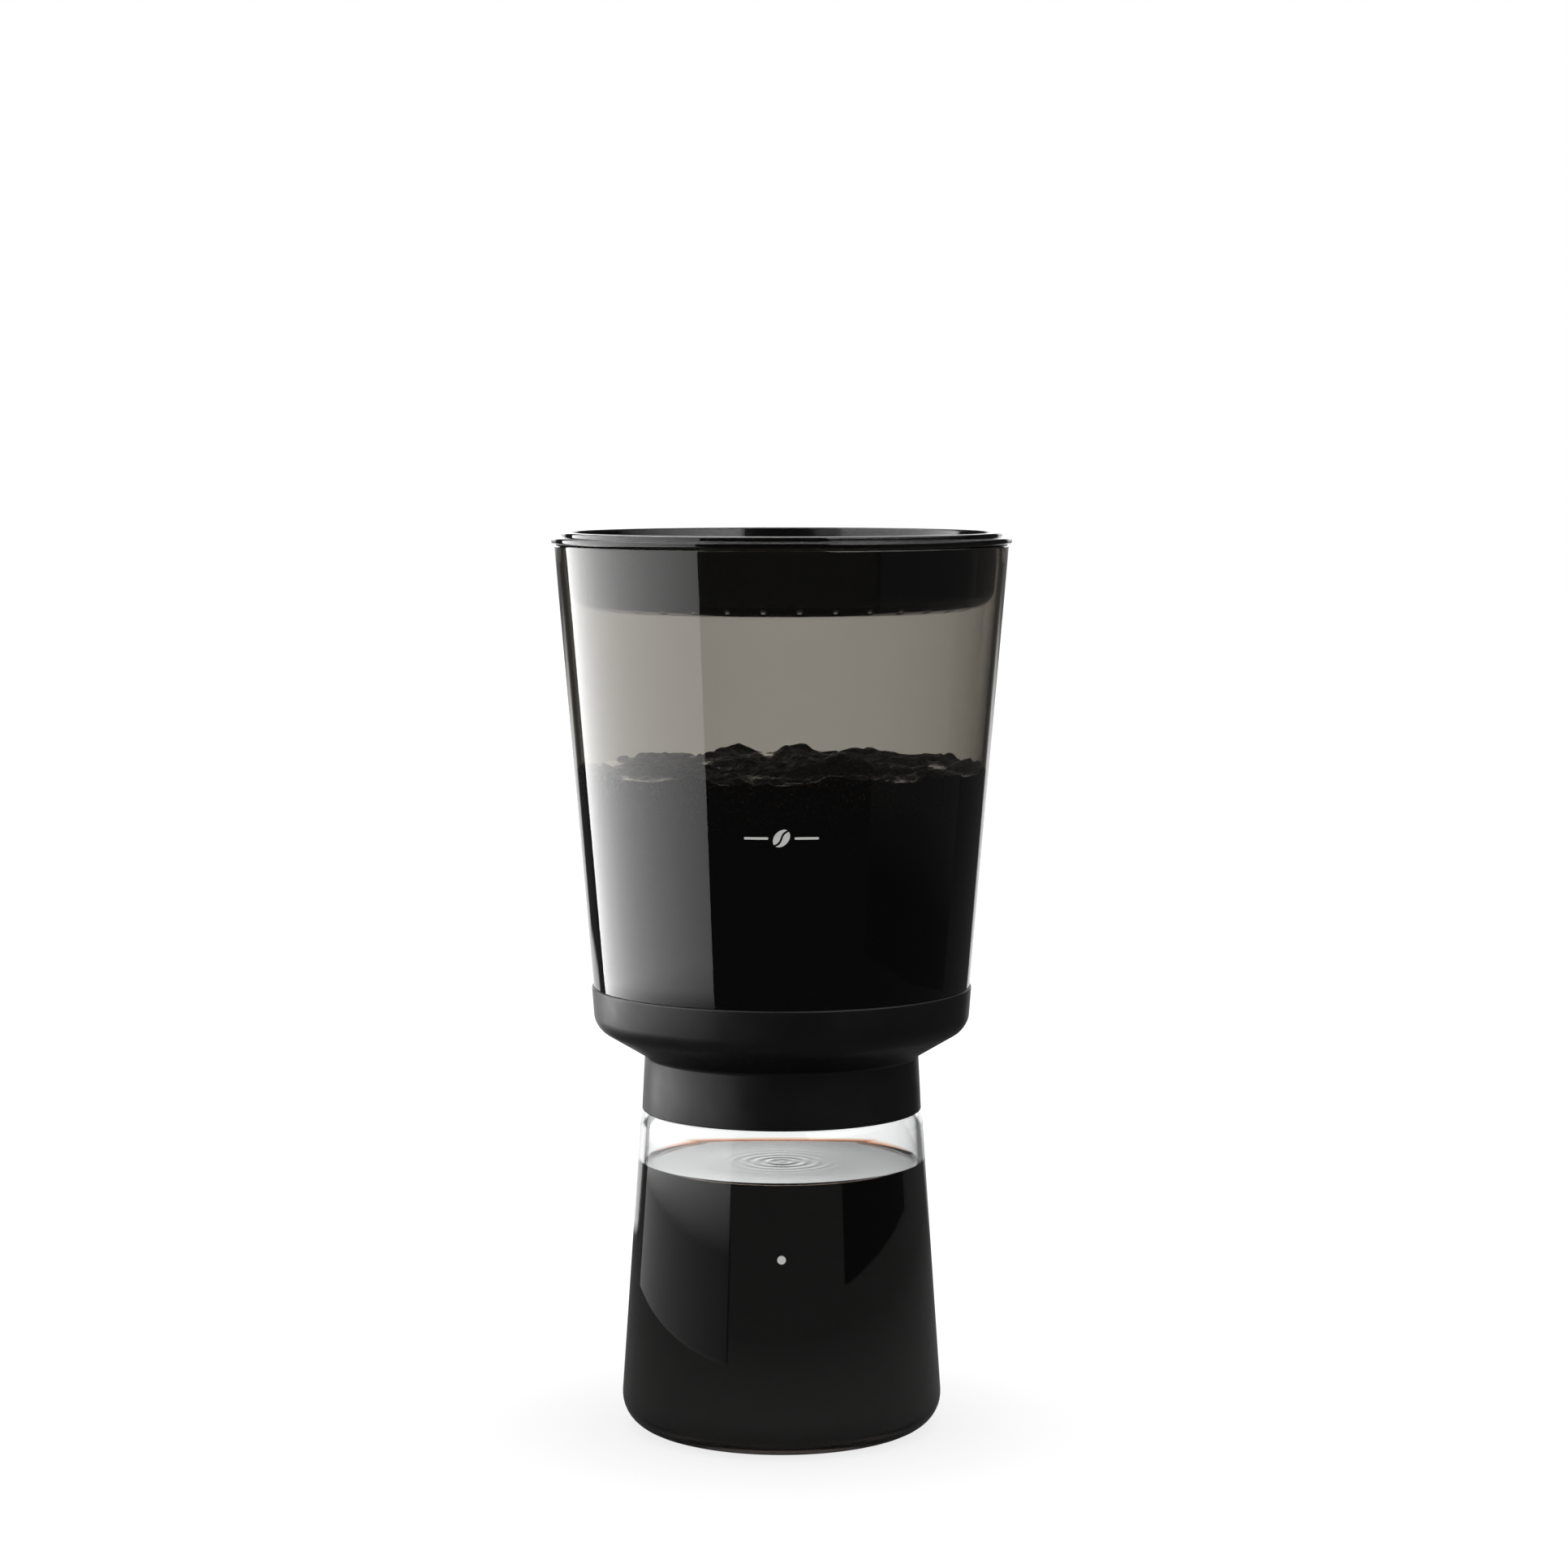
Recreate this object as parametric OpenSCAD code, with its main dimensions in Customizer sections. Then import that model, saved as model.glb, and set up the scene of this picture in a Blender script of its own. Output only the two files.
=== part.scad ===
// Cold brew coffee maker, upright on the table: a glass carafe, a steeping container whose drain
// valve opens when it stands on the carafe, and a perforated pouring dish that closes the top.
// The foot of the carafe is at z = 0, every piece turns about the Z axis, and the front faces -Y.

/* [Carafe] */
// Height of the rim
carafe_h = 135; // [115:1:160]
// Widest diameter, just above the foot
carafe_d = 107.3; // [98:0.1:125]
// Height at which the carafe is widest
carafe_wide_z = 12; // [10:1:20]
// Diameter where side and shoulder would meet
carafe_shoulder_d = 94.2; // [92:0.1:96]
// Rise of the shoulder from the side to the neck
carafe_shoulder_h = 14.1; // [12:0.1:15]
// Diameter at the foot of the neck
carafe_neck_d = 52.4; // [48:0.1:56]
// Height of the neck
carafe_neck_h = 13.3; // [12:0.1:16]
// Diameter of the rim
carafe_rim_d = 54.8; // [50:0.1:60]
// Thickness of the glass
glass_t = 2.2; // [1.6:0.1:3]
// Rounding of the foot
carafe_foot_r = 11; // [6:0.5:14]
// Rounding of the shoulder
carafe_shoulder_r = 10; // [6:0.5:14]
// Rounding under the neck
carafe_neck_r = 3; // [1:0.5:5]
// Diameter of the hollow under the foot
punt_d = 72; // [50:1:80]
// Depth of the hollow under the foot
punt_h = 1.2; // [0.5:0.1:3]

/* [Base of the brewer] */
// Height from the carafe rim up to the seam with the container
seam_rise = 14.4; // [14.2:0.1:18]
// Diameter at the seam
seam_d = 127.2; // [122:0.1:134]
// Diameter where band and cone would meet
band_d = 125.2; // [120:0.1:130]
// Height of the upright band
band_h = 13.3; // [11:0.1:16]
// Rounding between band and cone
band_r = 7; // [3:0.5:9]
// Rounding of the waist
waist_r = 1.5; // [1:0.1:3]
// Diameter of the waist between cone and skirt
waist_d = 91.8; // [90:0.1:93]
// Height of the skirt
skirt_h = 18.6; // [17:0.1:20]
// Diameter of the skirt at its lower edge
skirt_d = 93.7; // [92.5:0.1:96]
// Wall of the base
shell_t = 2.4; // [1.8:0.1:3]
// Width of the ledge that carries the plate
ledge_w = 3.5; // [2:0.1:4]
// Thickness of the plate
plate_t = 2; // [1.5:0.1:2]
// Diameter of the rib under the plate
rib_d = 76; // [66:1:90]
// Width and height of the rib under the plate
rib_t = 2; // [1:0.1:2.4]
// Height of the nut
nut_h = 2.2; // [1.6:0.1:2.2]
// Diameter of the spanner grips in the nut
nut_grip_d = 4; // [3:0.1:5]
// Width of the seat ring
seat_w = 9.1; // [7:0.1:12]
// Thickness of the seat ring at its inner edge
seat_t = 3; // [2:0.1:4]
// Height of the toe of the seat ring above the edge of the skirt
seat_toe_h = 3; // [2:0.1:4]
// Thickness of the flange that bears on the seat ring
seat_flange_t = 2; // [1.5:0.1:2.5]
// Number of screws between plate and shell
screw_count = 4; // [3:1:8]
// Diameter of the screws
screw_d = 2.5; // [2:0.1:3]
// Length of the screws
screw_l = 8; // [6:0.5:9]
// Height of the screw heads
screw_head_h = 1.5; // [1:0.1:1.8]

/* [Container] */
// Diameter of the rim
container_d = 151; // [140:0.5:165]
// Height from the seam to the rim
container_h = 147.4; // [120:0.2:170]
// Step from the base in to the container at the seam
seam_step = 0.6; // [0.2:0.1:1]
// Wall of the container
container_t = 2.5; // [2:0.1:3.5]
// Rise of the floor from the drain to the wall
floor_rise = 2; // [1:0.1:3]
// Rounding between floor and wall
floor_r = 4; // [2:0.5:4]
// Depth of the floor's lowest point below the seam
floor_drop = 1.5; // [1:0.1:1.5]
// Wall of the spigot that stands in the base
spigot_t = 2; // [1.5:0.1:2.5]

/* [Drain] */
// Diameter of the drain
drain_d = 16; // [15:0.5:17]
// Wall of the drain fitting
fitting_t = 2.5; // [2:0.1:3]
// Width of the flange of the drain fitting
fitting_flange_w = 2.5; // [2:0.1:3]
// Thickness of the flange of the drain fitting
fitting_flange_t = 1.6; // [1.2:0.1:1.6]
// Thickness of the gasket under the flange
gasket_t = 1; // [0.6:0.1:1]
// Thickness of the container's floor under the gasket
hub_t = 2.4; // [1.8:0.1:2.4]
// Height of the guide of the valve stem
guide_h = 3; // [2:0.1:3]
// Depth of the guide below the valve's seat
guide_drop = 0.9; // [0.5:0.1:0.9]
// Width of the arms that carry the guide
guide_arm_w = 1.8; // [1.2:0.1:2.4]

/* [Valve] */
// Travel of the valve
valve_travel = 4; // [2.5:0.1:4.4]
// Thickness of the lift ring
ring_t = 2.7; // [2.2:0.1:2.7]
// Width of the lift ring
ring_w = 5; // [4:0.1:6]
// Width of the arms of the lift ring
ring_arm_w = 3.2; // [2:0.1:4]
// Diameter of the stem
stem_d = 4; // [3:0.1:4.5]
// Diameter of the seal
seal_d = 22; // [20:0.5:24]
// Thickness of the seal
seal_t = 2.4; // [1.8:0.1:2.4]
// Thickness of the head of the stem
head_t = 1.8; // [1.2:0.1:1.8]
// Thickness of the clip
clip_t = 0.8; // [0.5:0.1:0.8]
// Wire of the spring
wire_d = 0.8; // [0.6:0.1:0.9]
// Turns of the spring
spring_turns = 3.25; // [2:0.25:3.5]

/* [Filter] */
// Height of the filter above the valve's seat
filter_rise = 9.4; // [9.2:0.1:14]
// Height of the filter frame
filter_h = 4.5; // [4:0.1:6]
// Width of the rim of the filter frame
frame_w = 3; // [2.5:0.1:4]
// Room between the frame and the wall, which the gasket fills
frame_gap = 2; // [1.5:0.1:2.5]
// Width of the ribs of the frame
frame_rib_w = 2; // [1.5:0.1:3]
// Height of the mesh above the lower face of the frame
mesh_rise = 1.5; // [1.2:0.1:2]
// Thickness of the mesh
mesh_t = 0.4; // [0.2:0.1:0.6]
// Height of the gasket groove above the lower face of the frame
groove_rise = 1.2; // [0.8:0.1:1.5]
// Height of the gasket groove
groove_h = 1.8; // [1.4:0.1:2]
// Width of the feet
foot_w = 5; // [3:0.1:6]
// Length of the feet, inwards from the rim
foot_l = 4; // [3:0.1:5]
// Width of the finger pull
pull_w = 16; // [14:1:20]
// Height of the finger pull
pull_h = 17; // [14:1:22]
// Thickness of the finger pull
pull_t = 3; // [2:0.1:4]
// Diameter of the hole in the finger pull
pull_hole_d = 10; // [8:0.5:11]

/* [Pouring dish] */
// Diameter of the flange
flange_d = 152.8; // [142:0.1:168]
// Thickness of the flange
flange_t = 2; // [1.6:0.1:3]
// Depth of the dish below the flange
dish_depth = 22; // [16:0.5:30]
// Wall of the dish
dish_t = 2; // [1.5:0.1:2.6]
// Width of the slope around the floor
slope_w = 9; // [7:0.5:12]
// Height of the slope around the floor
slope_h = 2.4; // [1:0.1:4]
// Rounding between floor and slope
slope_r = 12; // [6:1:14]
// Rounding between slope and wall
wall_r = 6; // [4:0.5:8]
// Width of the bead on the flange, outside the wall
bead_w = 1; // [0.8:0.1:2]
// Height of the bead on the flange
bead_h = 1.7; // [1.3:0.1:3]
// Diameter of each hole
hole_d = 3; // [2:0.1:4]
// Distance between rings of holes
hole_pitch = 10; // [8:0.5:14]
// Number of holes on the slope
slope_holes = 36; // [18:6:48]

/* [Clearances] */
// Between pieces that slide or lift apart
free_gap = 0.35; // [0.3:0.05:0.4]
// Between pieces of one assembly
fit_gap = 0.1; // [0.05:0.05:0.15]
// Between the lift ring and the rim of the carafe
lift_gap = 0.6; // [0.4:0.1:0.6]
// Between the wall of the dish and the container
dish_gap = 0.7; // [0.5:0.1:1]

/* [Hidden] */
$fn = 96;
through = 1;

// Heights, from the table up
carafe_neck_z = carafe_h - carafe_neck_h;
carafe_shoulder_z = carafe_neck_z - carafe_shoulder_h;
skirt_z = carafe_shoulder_z;
waist_z = skirt_z + skirt_h;
ring_z = carafe_h + lift_gap;
seam_z = carafe_h + seam_rise;
band_z = seam_z - band_h;
land_z = seam_z - floor_drop;
recess_z = land_z - fitting_flange_t - gasket_t;
hub_z = recess_z - hub_t;
plate_z = hub_z - plate_t;
nut_z = plate_z - nut_h;
guide_z = land_z - guide_drop - guide_h;
rim_z = seam_z + container_h;
flange_z = rim_z + free_gap / 2;
dish_z = flange_z - dish_depth;
filter_z = land_z + filter_rise;
mesh_z = filter_z + mesh_rise;
seal_z = land_z + valve_travel + fit_gap / 2;
head_z = seal_z + seal_t;

// Radii
drain_r = drain_d / 2;
spout_r = drain_r + fitting_t;
fitting_r = spout_r + fitting_flange_w;
recess_r = fitting_r + free_gap;
hub_r = recess_r + hub_t;
guide_r = 0.675 * drain_r;
spigot_r = seam_d / 2 - shell_t - fit_gap;
ledge_r = spigot_r - ledge_w;
seat_in_r = carafe_shoulder_d / 2 - seat_w;
screw_head_r = 0.95 * screw_d;
boss_r = 1.2 * screw_d;
screw_circle_r = spigot_r - spigot_t - free_gap - screw_head_r;

// Half the container's outer and inner width at height z
container_lean = (container_d - seam_d + 2 * seam_step) / 2 / container_h;
function container_out(z) = container_d / 2 - (rim_z - z) * container_lean;
function container_in(z) = container_out(z) - container_t;

// Height of the container's floor at radius r
function floor_at(r) = land_z + (r - recess_r) * floor_rise / (container_in(land_z) - recess_r);

// Height of the carafe's shoulder at radius r
function shoulder_at(r) =
  carafe_shoulder_z
  + (carafe_shoulder_d / 2 - r) * carafe_shoulder_h * 2 / (carafe_shoulder_d - carafe_neck_d);
seat_top_z = shoulder_at(seat_in_r) + free_gap + seat_t;

// Filter frame
frame_r = container_in(filter_z) - frame_gap;
groove_z = filter_z + groove_rise;
groove_r = frame_r - frame_w / 3;

// Clip of the stem, in a counterbore of the lift ring
clip_z = ring_z + clip_t;
clip_r = stem_d / 2 + 2 * clip_t;
clip_in_r = 0.7 * stem_d / 2;

// Outline tools
function unit(v) = v / norm(v);
function left_of(v) = [-v.y, v.x];
function reversed(p) = [for (i = [len(p) - 1 : -1 : 0]) p[i]];
function turn(a, b, c) = (b - a).x * (c - b).y - (b - a).y * (c - b).x;

// Points of the fillet of radius r that replaces the sharp corner b
function fillet(a, b, c, r) =
  let (
    u = unit(b - a),
    v = unit(c - b),
    angle = acos(u * v),
    inward = sign(turn(a, b, c)) * left_of(u),
    centre = b - r * tan(angle / 2) * u + r * inward,
    steps = max(3, ceil(angle / 7))
  )
  [
    for (i = [0 : steps])
      centre + r * (sin(angle * i / steps) * u - cos(angle * i / steps) * inward)
  ];

// A closed outline with a fillet radius for each corner, 0 for a sharp one
function rounded(p, r) =
  let (n = len(p))
  [
    for (i = [0 : n - 1])
      each r[i] > 0 ? fillet(p[(i + n - 1) % n], p[i], p[(i + 1) % n], r[i]) : [p[i]]
  ];

// A chain of points moved d to its left; a point on the axis stays on the axis
function beside(p, d) = [
  for (i = [0 : len(p) - 1])
    let (
      into = unit(i == 0 ? p[1] - p[0] : p[i] - p[i - 1]),
      out = unit(i == len(p) - 1 ? p[i] - p[i - 1] : p[i + 1] - p[i]),
      n = left_of(into),
      m = left_of(out)
    )
      p[i].x == 0 ? [0, p[i].y + d / out.x] : p[i] + d * (n + m) / (1 + n * m)
];

module ring(r_in, r_out, h) {
  difference() {
    cylinder(r = r_out, h = h);
    translate([0, 0, -through]) cylinder(r = r_in, h = h + 2 * through);
  }
}

// Copies on a circle
module around(count, r, start = 0) {
  for (i = [0 : count - 1])
    rotate(start + 360 * i / count)
      translate([r, 0, 0])
        children();
}

// Carafe outline: hollow under the foot, foot, side, shoulder, neck
carafe_lean = (carafe_d - carafe_shoulder_d) / 2 / (carafe_shoulder_z - carafe_wide_z);
carafe_side = [
  [0, punt_h],
  [punt_d / 2, 0],
  [carafe_d / 2 + carafe_wide_z * carafe_lean, 0],
  [carafe_shoulder_d / 2, carafe_shoulder_z],
  [carafe_neck_d / 2, carafe_neck_z],
  [carafe_rim_d / 2, carafe_h],
];

// Room that the carafe takes up inside the base
module carafe_room() {
  outer = beside(carafe_side, -free_gap);
  polygon(
    rounded(
      concat([[0, 0]], [for (i = [1 : 5]) outer[i]], [[0, carafe_h]]),
      [0, 0, carafe_foot_r, carafe_shoulder_r + free_gap, 0, 0, 0]
    )
  );
}

module carafe_glass() {
  lip_r = 0.42 * glass_t;
  color("lightcyan", 0.4)
    rotate_extrude()
      polygon(
        rounded(
          concat(carafe_side, reversed(beside(carafe_side, glass_t))),
          [
            0, 0, carafe_foot_r, carafe_shoulder_r, carafe_neck_r, lip_r,
            lip_r, carafe_neck_r + glass_t, carafe_shoulder_r - glass_t, carafe_foot_r - glass_t, 0, 0,
          ]
        )
      );
}

module brew_container() {
  lip_r = 0.36 * container_t;
  edge_r = spigot_t / 4;
  foot_z = hub_z + free_gap;
  wall_foot_z = floor_at(container_in(land_z));
  inner_r = spigot_r - spigot_t;
  section = [
    [spout_r + fit_gap, hub_z],
    [hub_r, hub_z],
    [hub_r, floor_at(hub_r) - container_t],
    [inner_r, floor_at(inner_r) - container_t],
    [inner_r, foot_z],
    [spigot_r, foot_z],
    [spigot_r, seam_z],
    [container_out(seam_z), seam_z],
    [container_out(rim_z), rim_z],
    [container_in(rim_z), rim_z],
    [container_in(wall_foot_z), wall_foot_z],
    [recess_r, land_z],
    [recess_r, recess_z],
    [spout_r + fit_gap, recess_z],
  ];
  color("dimgray", 0.5)
    rotate_extrude()
      polygon(
        rounded(section, [0, edge_r, edge_r, edge_r, edge_r, edge_r, 0, 0, lip_r, lip_r, floor_r, 0, 0, 0])
      );
}

// Outer corners of the base, from the skirt up to the seam
base_side = [
  [skirt_d / 2, skirt_z],
  [waist_d / 2, waist_z],
  [band_d / 2, band_z],
  [seam_d / 2, seam_z],
];

module base_shell() {
  edge_r = shell_t / 6;
  cone = unit(base_side[2] - base_side[1]);
  inner = beside(base_side, shell_t);
  ledge_foot = inner[1] + cone * (ledge_r - inner[1].x) / cone.x;
  section = concat(base_side, [
    [spigot_r + fit_gap, seam_z],
    [spigot_r + fit_gap, plate_z],
    [ledge_r, plate_z],
    ledge_foot,
    inner[1],
    inner[0],
  ]);
  rounds = [edge_r, waist_r, band_r, edge_r, 0, 0, edge_r, 0, waist_r + shell_t, 0];
  color([0.09, 0.09, 0.09])
    difference() {
      union() {
        rotate_extrude()
          difference() {
            union() {
              polygon(rounded(section, rounds));
              // Flange that bears on the seat ring
              translate([seat_in_r, seat_top_z])
                square([inner[1].x + shell_t / 4 - seat_in_r, seat_flange_t]);
            }
            carafe_room();
          }
        // Screw bosses on the inside of the cone
        intersection() {
          around(screw_count, screw_circle_r)
            translate([0, 0, waist_z])
              cylinder(r = boss_r, h = plate_z - waist_z);
          rotate_extrude()
            polygon(concat([[0, waist_z]], [for (i = [1 : 3]) base_side[i]], [[0, seam_z]]));
        }
      }
      around(screw_count, screw_circle_r)
        translate([0, 0, plate_z + plate_t - screw_l - free_gap])
          cylinder(d = screw_d + 2 * fit_gap, h = screw_l + through);
    }
}

module base_plate() {
  color([0.13, 0.13, 0.13])
    translate([0, 0, plate_z])
      difference() {
        union() {
          ring(spout_r + fit_gap, spigot_r - fit_gap, plate_t);
          // Stiffening rib under the plate
          translate([0, 0, -rib_t]) ring(rib_d / 2 - rib_t, rib_d / 2, rib_t + plate_t / 2);
        }
        around(screw_count, screw_circle_r)
          translate([0, 0, -through])
            cylinder(d = screw_d + 2 * fit_gap, h = plate_t + 2 * through);
      }
}

module base_screws() {
  slot_w = screw_d / 4;
  color("silver")
    around(screw_count, screw_circle_r)
      translate([0, 0, plate_z + plate_t]) {
        translate([0, 0, -screw_l]) cylinder(d = screw_d, h = screw_l + screw_head_h / 2);
        difference() {
          cylinder(r = screw_head_r, h = screw_head_h);
          // Slot for the driver
          translate([-screw_d, -slot_w / 2, screw_head_h / 2])
            cube([2 * screw_d, slot_w, screw_head_h]);
        }
      }
}

module base_nut() {
  color([0.16, 0.16, 0.16])
    translate([0, 0, nut_z])
      difference() {
        ring(spout_r + fit_gap, hub_r, nut_h);
        // Grips for the spanner
        around(6, hub_r + nut_grip_d / 6)
          translate([0, 0, -through])
            cylinder(d = nut_grip_d, h = nut_h + 2 * through);
      }
}

// Seat ring between the flange of the base and the shoulder of the carafe
module seat_ring() {
  toe_z = skirt_z + seat_toe_h;
  skirt_lean = (skirt_d - waist_d) / 2 / skirt_h;
  function out_r(z) = skirt_d / 2 - shell_t - 2 * fit_gap - (z - skirt_z) * skirt_lean;
  color("dimgray")
    rotate_extrude()
      difference() {
        polygon([
          [seat_in_r, toe_z],
          [out_r(toe_z), toe_z],
          [out_r(seat_top_z), seat_top_z],
          [seat_in_r, seat_top_z],
        ]);
        carafe_room();
      }
}

// Drain fitting: tube and flange, with the guide of the valve stem on three arms
module drain_fitting() {
  collar_z = land_z - fitting_flange_t;
  edge_r = fitting_flange_t / 4;
  color([0.15, 0.15, 0.15]) {
    rotate_extrude()
      polygon(
        rounded(
          [
            [drain_r, nut_z],
            [spout_r, nut_z],
            [spout_r, collar_z],
            [fitting_r, collar_z],
            [fitting_r, land_z],
            [drain_r, land_z],
          ],
          [0, edge_r, 0, 0, edge_r, edge_r]
        )
      );
    difference() {
      union() {
        translate([0, 0, guide_z]) cylinder(r = guide_r, h = guide_h);
        for (a = [0 : 120 : 240])
          rotate(a)
            translate([0, -guide_arm_w / 2, guide_z])
              cube([drain_r + fitting_t / 4, guide_arm_w, guide_h]);
      }
      translate([0, 0, guide_z - through])
        cylinder(d = stem_d + 2 * free_gap, h = guide_h + 2 * through);
    }
  }
}

module drain_gasket() {
  color("gray")
    translate([0, 0, recess_z]) ring(spout_r + fit_gap, fitting_r, gasket_t);
}

// Spring, a plain helix of round wire between the lift ring and the stem guide
spring_r = guide_r - wire_d;
spring_z0 = ring_z + ring_t + wire_d / 2 + fit_gap / 2;
spring_z1 = guide_z - wire_d / 2 - fit_gap / 2;
spring_steps = ceil(24 * spring_turns);
function spring_angle(i) = 360 * spring_turns * i / spring_steps;
function spring_point(i) = [
  spring_r * cos(spring_angle(i)),
  spring_r * sin(spring_angle(i)),
  spring_z0 + (spring_z1 - spring_z0) * i / spring_steps,
];
spring_gap = min([
  for (i = [0 : spring_steps], k = [0 : spring_steps])
    if (k - i > 12) norm(spring_point(k) - spring_point(i)) - wire_d
]);

module valve_spring() {
  sides = 8;
  points = [
    for (i = [0 : spring_steps], s = [0 : sides - 1])
      let (
        a = spring_angle(i),
        b = 360 * s / sides,
        reach = spring_r + wire_d / 2 * cos(b)
      )
        [reach * cos(a), reach * sin(a), spring_point(i).z + wire_d / 2 * sin(b)]
  ];
  faces = concat(
    [[for (s = [0 : sides - 1]) s]],
    [[for (s = [sides - 1 : -1 : 0]) spring_steps * sides + s]],
    [
      for (i = [0 : spring_steps - 1], s = [0 : sides - 1])
        let (
          here = i * sides,
          next = here + sides,
          t = (s + 1) % sides
        )
          [here + s, next + s, next + t, here + t]
    ]
  );
  echo(least_gap_of_spring = spring_gap);
  color("silver") polyhedron(points, faces);
}

module rain_dish() {
  edge_r = flange_t / 3;
  top_r = container_in(rim_z) - dish_gap;
  foot_r = container_in(dish_z) - dish_gap - fit_gap;
  flange_top_z = flange_z + flange_t;
  // Underside and wall from the middle outwards, then the inner faces
  side = [
    [0, dish_z],
    [foot_r - slope_w, dish_z],
    [foot_r, dish_z + slope_h],
    [top_r, flange_top_z],
  ];
  inner = beside(side, dish_t);
  section = [
    side[0],
    side[1],
    side[2],
    [top_r - flange_t * (top_r - foot_r) / dish_depth, flange_z],
    [flange_d / 2, flange_z],
    [flange_d / 2, flange_top_z],
    [top_r + bead_w, flange_top_z],
    [top_r + bead_w, flange_top_z + bead_h],
    [inner[3].x, flange_top_z + bead_h],
    inner[2],
    inner[1],
    inner[0],
  ];
  rounds = [
    0, slope_r, wall_r, edge_r, edge_r, edge_r, edge_r / 2, edge_r, edge_r,
    wall_r - dish_t, slope_r - dish_t, 0,
  ];
  color("gray", 0.6)
    difference() {
      rotate_extrude() polygon(rounded(section, rounds));
      dish_hole();
      for (k = [1 : floor((foot_r - slope_w - hole_d) / hole_pitch)])
        around(6 * k, k * hole_pitch) dish_hole();
      // Outermost ring, on the slope
      around(slope_holes, foot_r - 0.6 * slope_w, 180 / slope_holes) dish_hole();
    }
}

module dish_hole() {
  translate([0, 0, dish_z - through])
    cylinder(d = hole_d, h = slope_h + dish_t + 3 * through, $fn = 24);
}

// Filter frame: rim, six ribs, hub, six feet and a finger pull
module filter_frame() {
  rib_z = mesh_z + mesh_t;
  top_z = filter_z + filter_h;
  pull_eye_z = top_z + pull_h - pull_w / 2;
  foot_out_r = frame_r - 0.7 * frame_w;
  foot_z = floor_at(foot_out_r) + free_gap;
  color([0.12, 0.12, 0.12]) {
    translate([0, 0, filter_z])
      difference() {
        ring(frame_r - frame_w, frame_r, filter_h);
        // Groove for the gasket
        translate([0, 0, groove_z - filter_z]) ring(groove_r, frame_r + through, groove_h);
      }
    translate([0, 0, rib_z]) cylinder(d = pull_w, h = top_z - rib_z);
    for (a = [0 : 60 : 300])
      rotate(a)
        translate([pull_w / 4, -frame_rib_w / 2, rib_z])
          cube([frame_r - frame_w / 2 - pull_w / 4, frame_rib_w, top_z - rib_z]);
    // Feet on the floor of the container
    around(6, foot_out_r - foot_l, 30)
      translate([0, -foot_w / 2, foot_z])
        cube([foot_l, foot_w, mesh_z - fit_gap - foot_z]);
    difference() {
      union() {
        translate([-pull_w / 2, -pull_t / 2, top_z - mesh_t])
          cube([pull_w, pull_t, pull_eye_z - top_z + mesh_t]);
        translate([0, pull_t / 2, pull_eye_z]) rotate([90, 0, 0]) cylinder(d = pull_w, h = pull_t);
      }
      translate([0, pull_t, pull_eye_z]) rotate([90, 0, 0]) cylinder(d = pull_hole_d, h = 2 * pull_t);
    }
  }
}

module filter_mesh() {
  color("silver")
    translate([0, 0, mesh_z]) cylinder(r = frame_r - frame_w - fit_gap / 2, h = mesh_t);
}

module filter_gasket() {
  low_z = groove_z + fit_gap / 2;
  high_z = groove_z + groove_h - fit_gap / 2;
  lip_z = (low_z + high_z) / 2;
  lip_r = container_in(lip_z) - free_gap;
  lip_t = groove_h / 4;
  root_r = groove_r + fit_gap / 2;
  color("dimgray")
    rotate_extrude()
      polygon([
        [root_r, low_z],
        [frame_r + free_gap, low_z],
        [lip_r, lip_z - lip_t / 2],
        [lip_r, lip_z + lip_t / 2],
        [frame_r + free_gap, high_z],
        [root_r, high_z],
      ]);
}

module valve_stem() {
  tip_z = ring_z + fit_gap;
  bevel = stem_d / 12;
  head_r = 0.41 * seal_d;
  groove_top_z = clip_z + clip_t + fit_gap / 2;
  groove_foot_z = clip_z - fit_gap / 2;
  color([0.2, 0.2, 0.2])
    rotate_extrude()
      polygon([
        [0, tip_z],
        [stem_d / 2 - bevel, tip_z],
        [stem_d / 2, tip_z + bevel],
        [stem_d / 2, groove_foot_z],
        [clip_in_r - fit_gap / 2, groove_foot_z],
        [clip_in_r - fit_gap / 2, groove_top_z],
        [stem_d / 2, groove_top_z],
        [stem_d / 2, head_z],
        [head_r, head_z],
        [head_r, head_z + head_t / 2],
        [head_r - head_t / 2, head_z + head_t],
        [0, head_z + head_t],
      ]);
}

module valve_seal() {
  bevel = seal_t / 4;
  in_r = stem_d / 2 + fit_gap / 2;
  color("gray")
    rotate_extrude()
      polygon([
        [in_r, seal_z],
        [seal_d / 2 - bevel, seal_z],
        [seal_d / 2, seal_z + bevel],
        [seal_d / 2, head_z - bevel],
        [seal_d / 2 - bevel, head_z],
        [in_r, head_z],
      ]);
}

// Lift ring, which meets the rim of the carafe, with three arms to its hub
module lift_ring() {
  out_r = carafe_rim_d / 2 + ring_w / 3;
  in_r = out_r - ring_w;
  arm_h = 0.85 * ring_t;
  color([0.2, 0.2, 0.2])
    difference() {
      translate([0, 0, ring_z]) {
        ring(in_r, out_r, ring_t);
        for (a = [60 : 120 : 300])
          rotate(a)
            translate([guide_r / 2, -ring_arm_w / 2, 0])
              cube([in_r - guide_r / 2 + ring_w / 4, ring_arm_w, arm_h]);
        cylinder(r = guide_r, h = ring_t);
      }
      translate([0, 0, ring_z - through]) {
        cylinder(d = stem_d + fit_gap, h = ring_t + 2 * through);
        // Counterbore for the clip
        cylinder(r = clip_r + fit_gap, h = clip_z + clip_t + fit_gap / 2 - ring_z + through);
      }
    }
}

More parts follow.
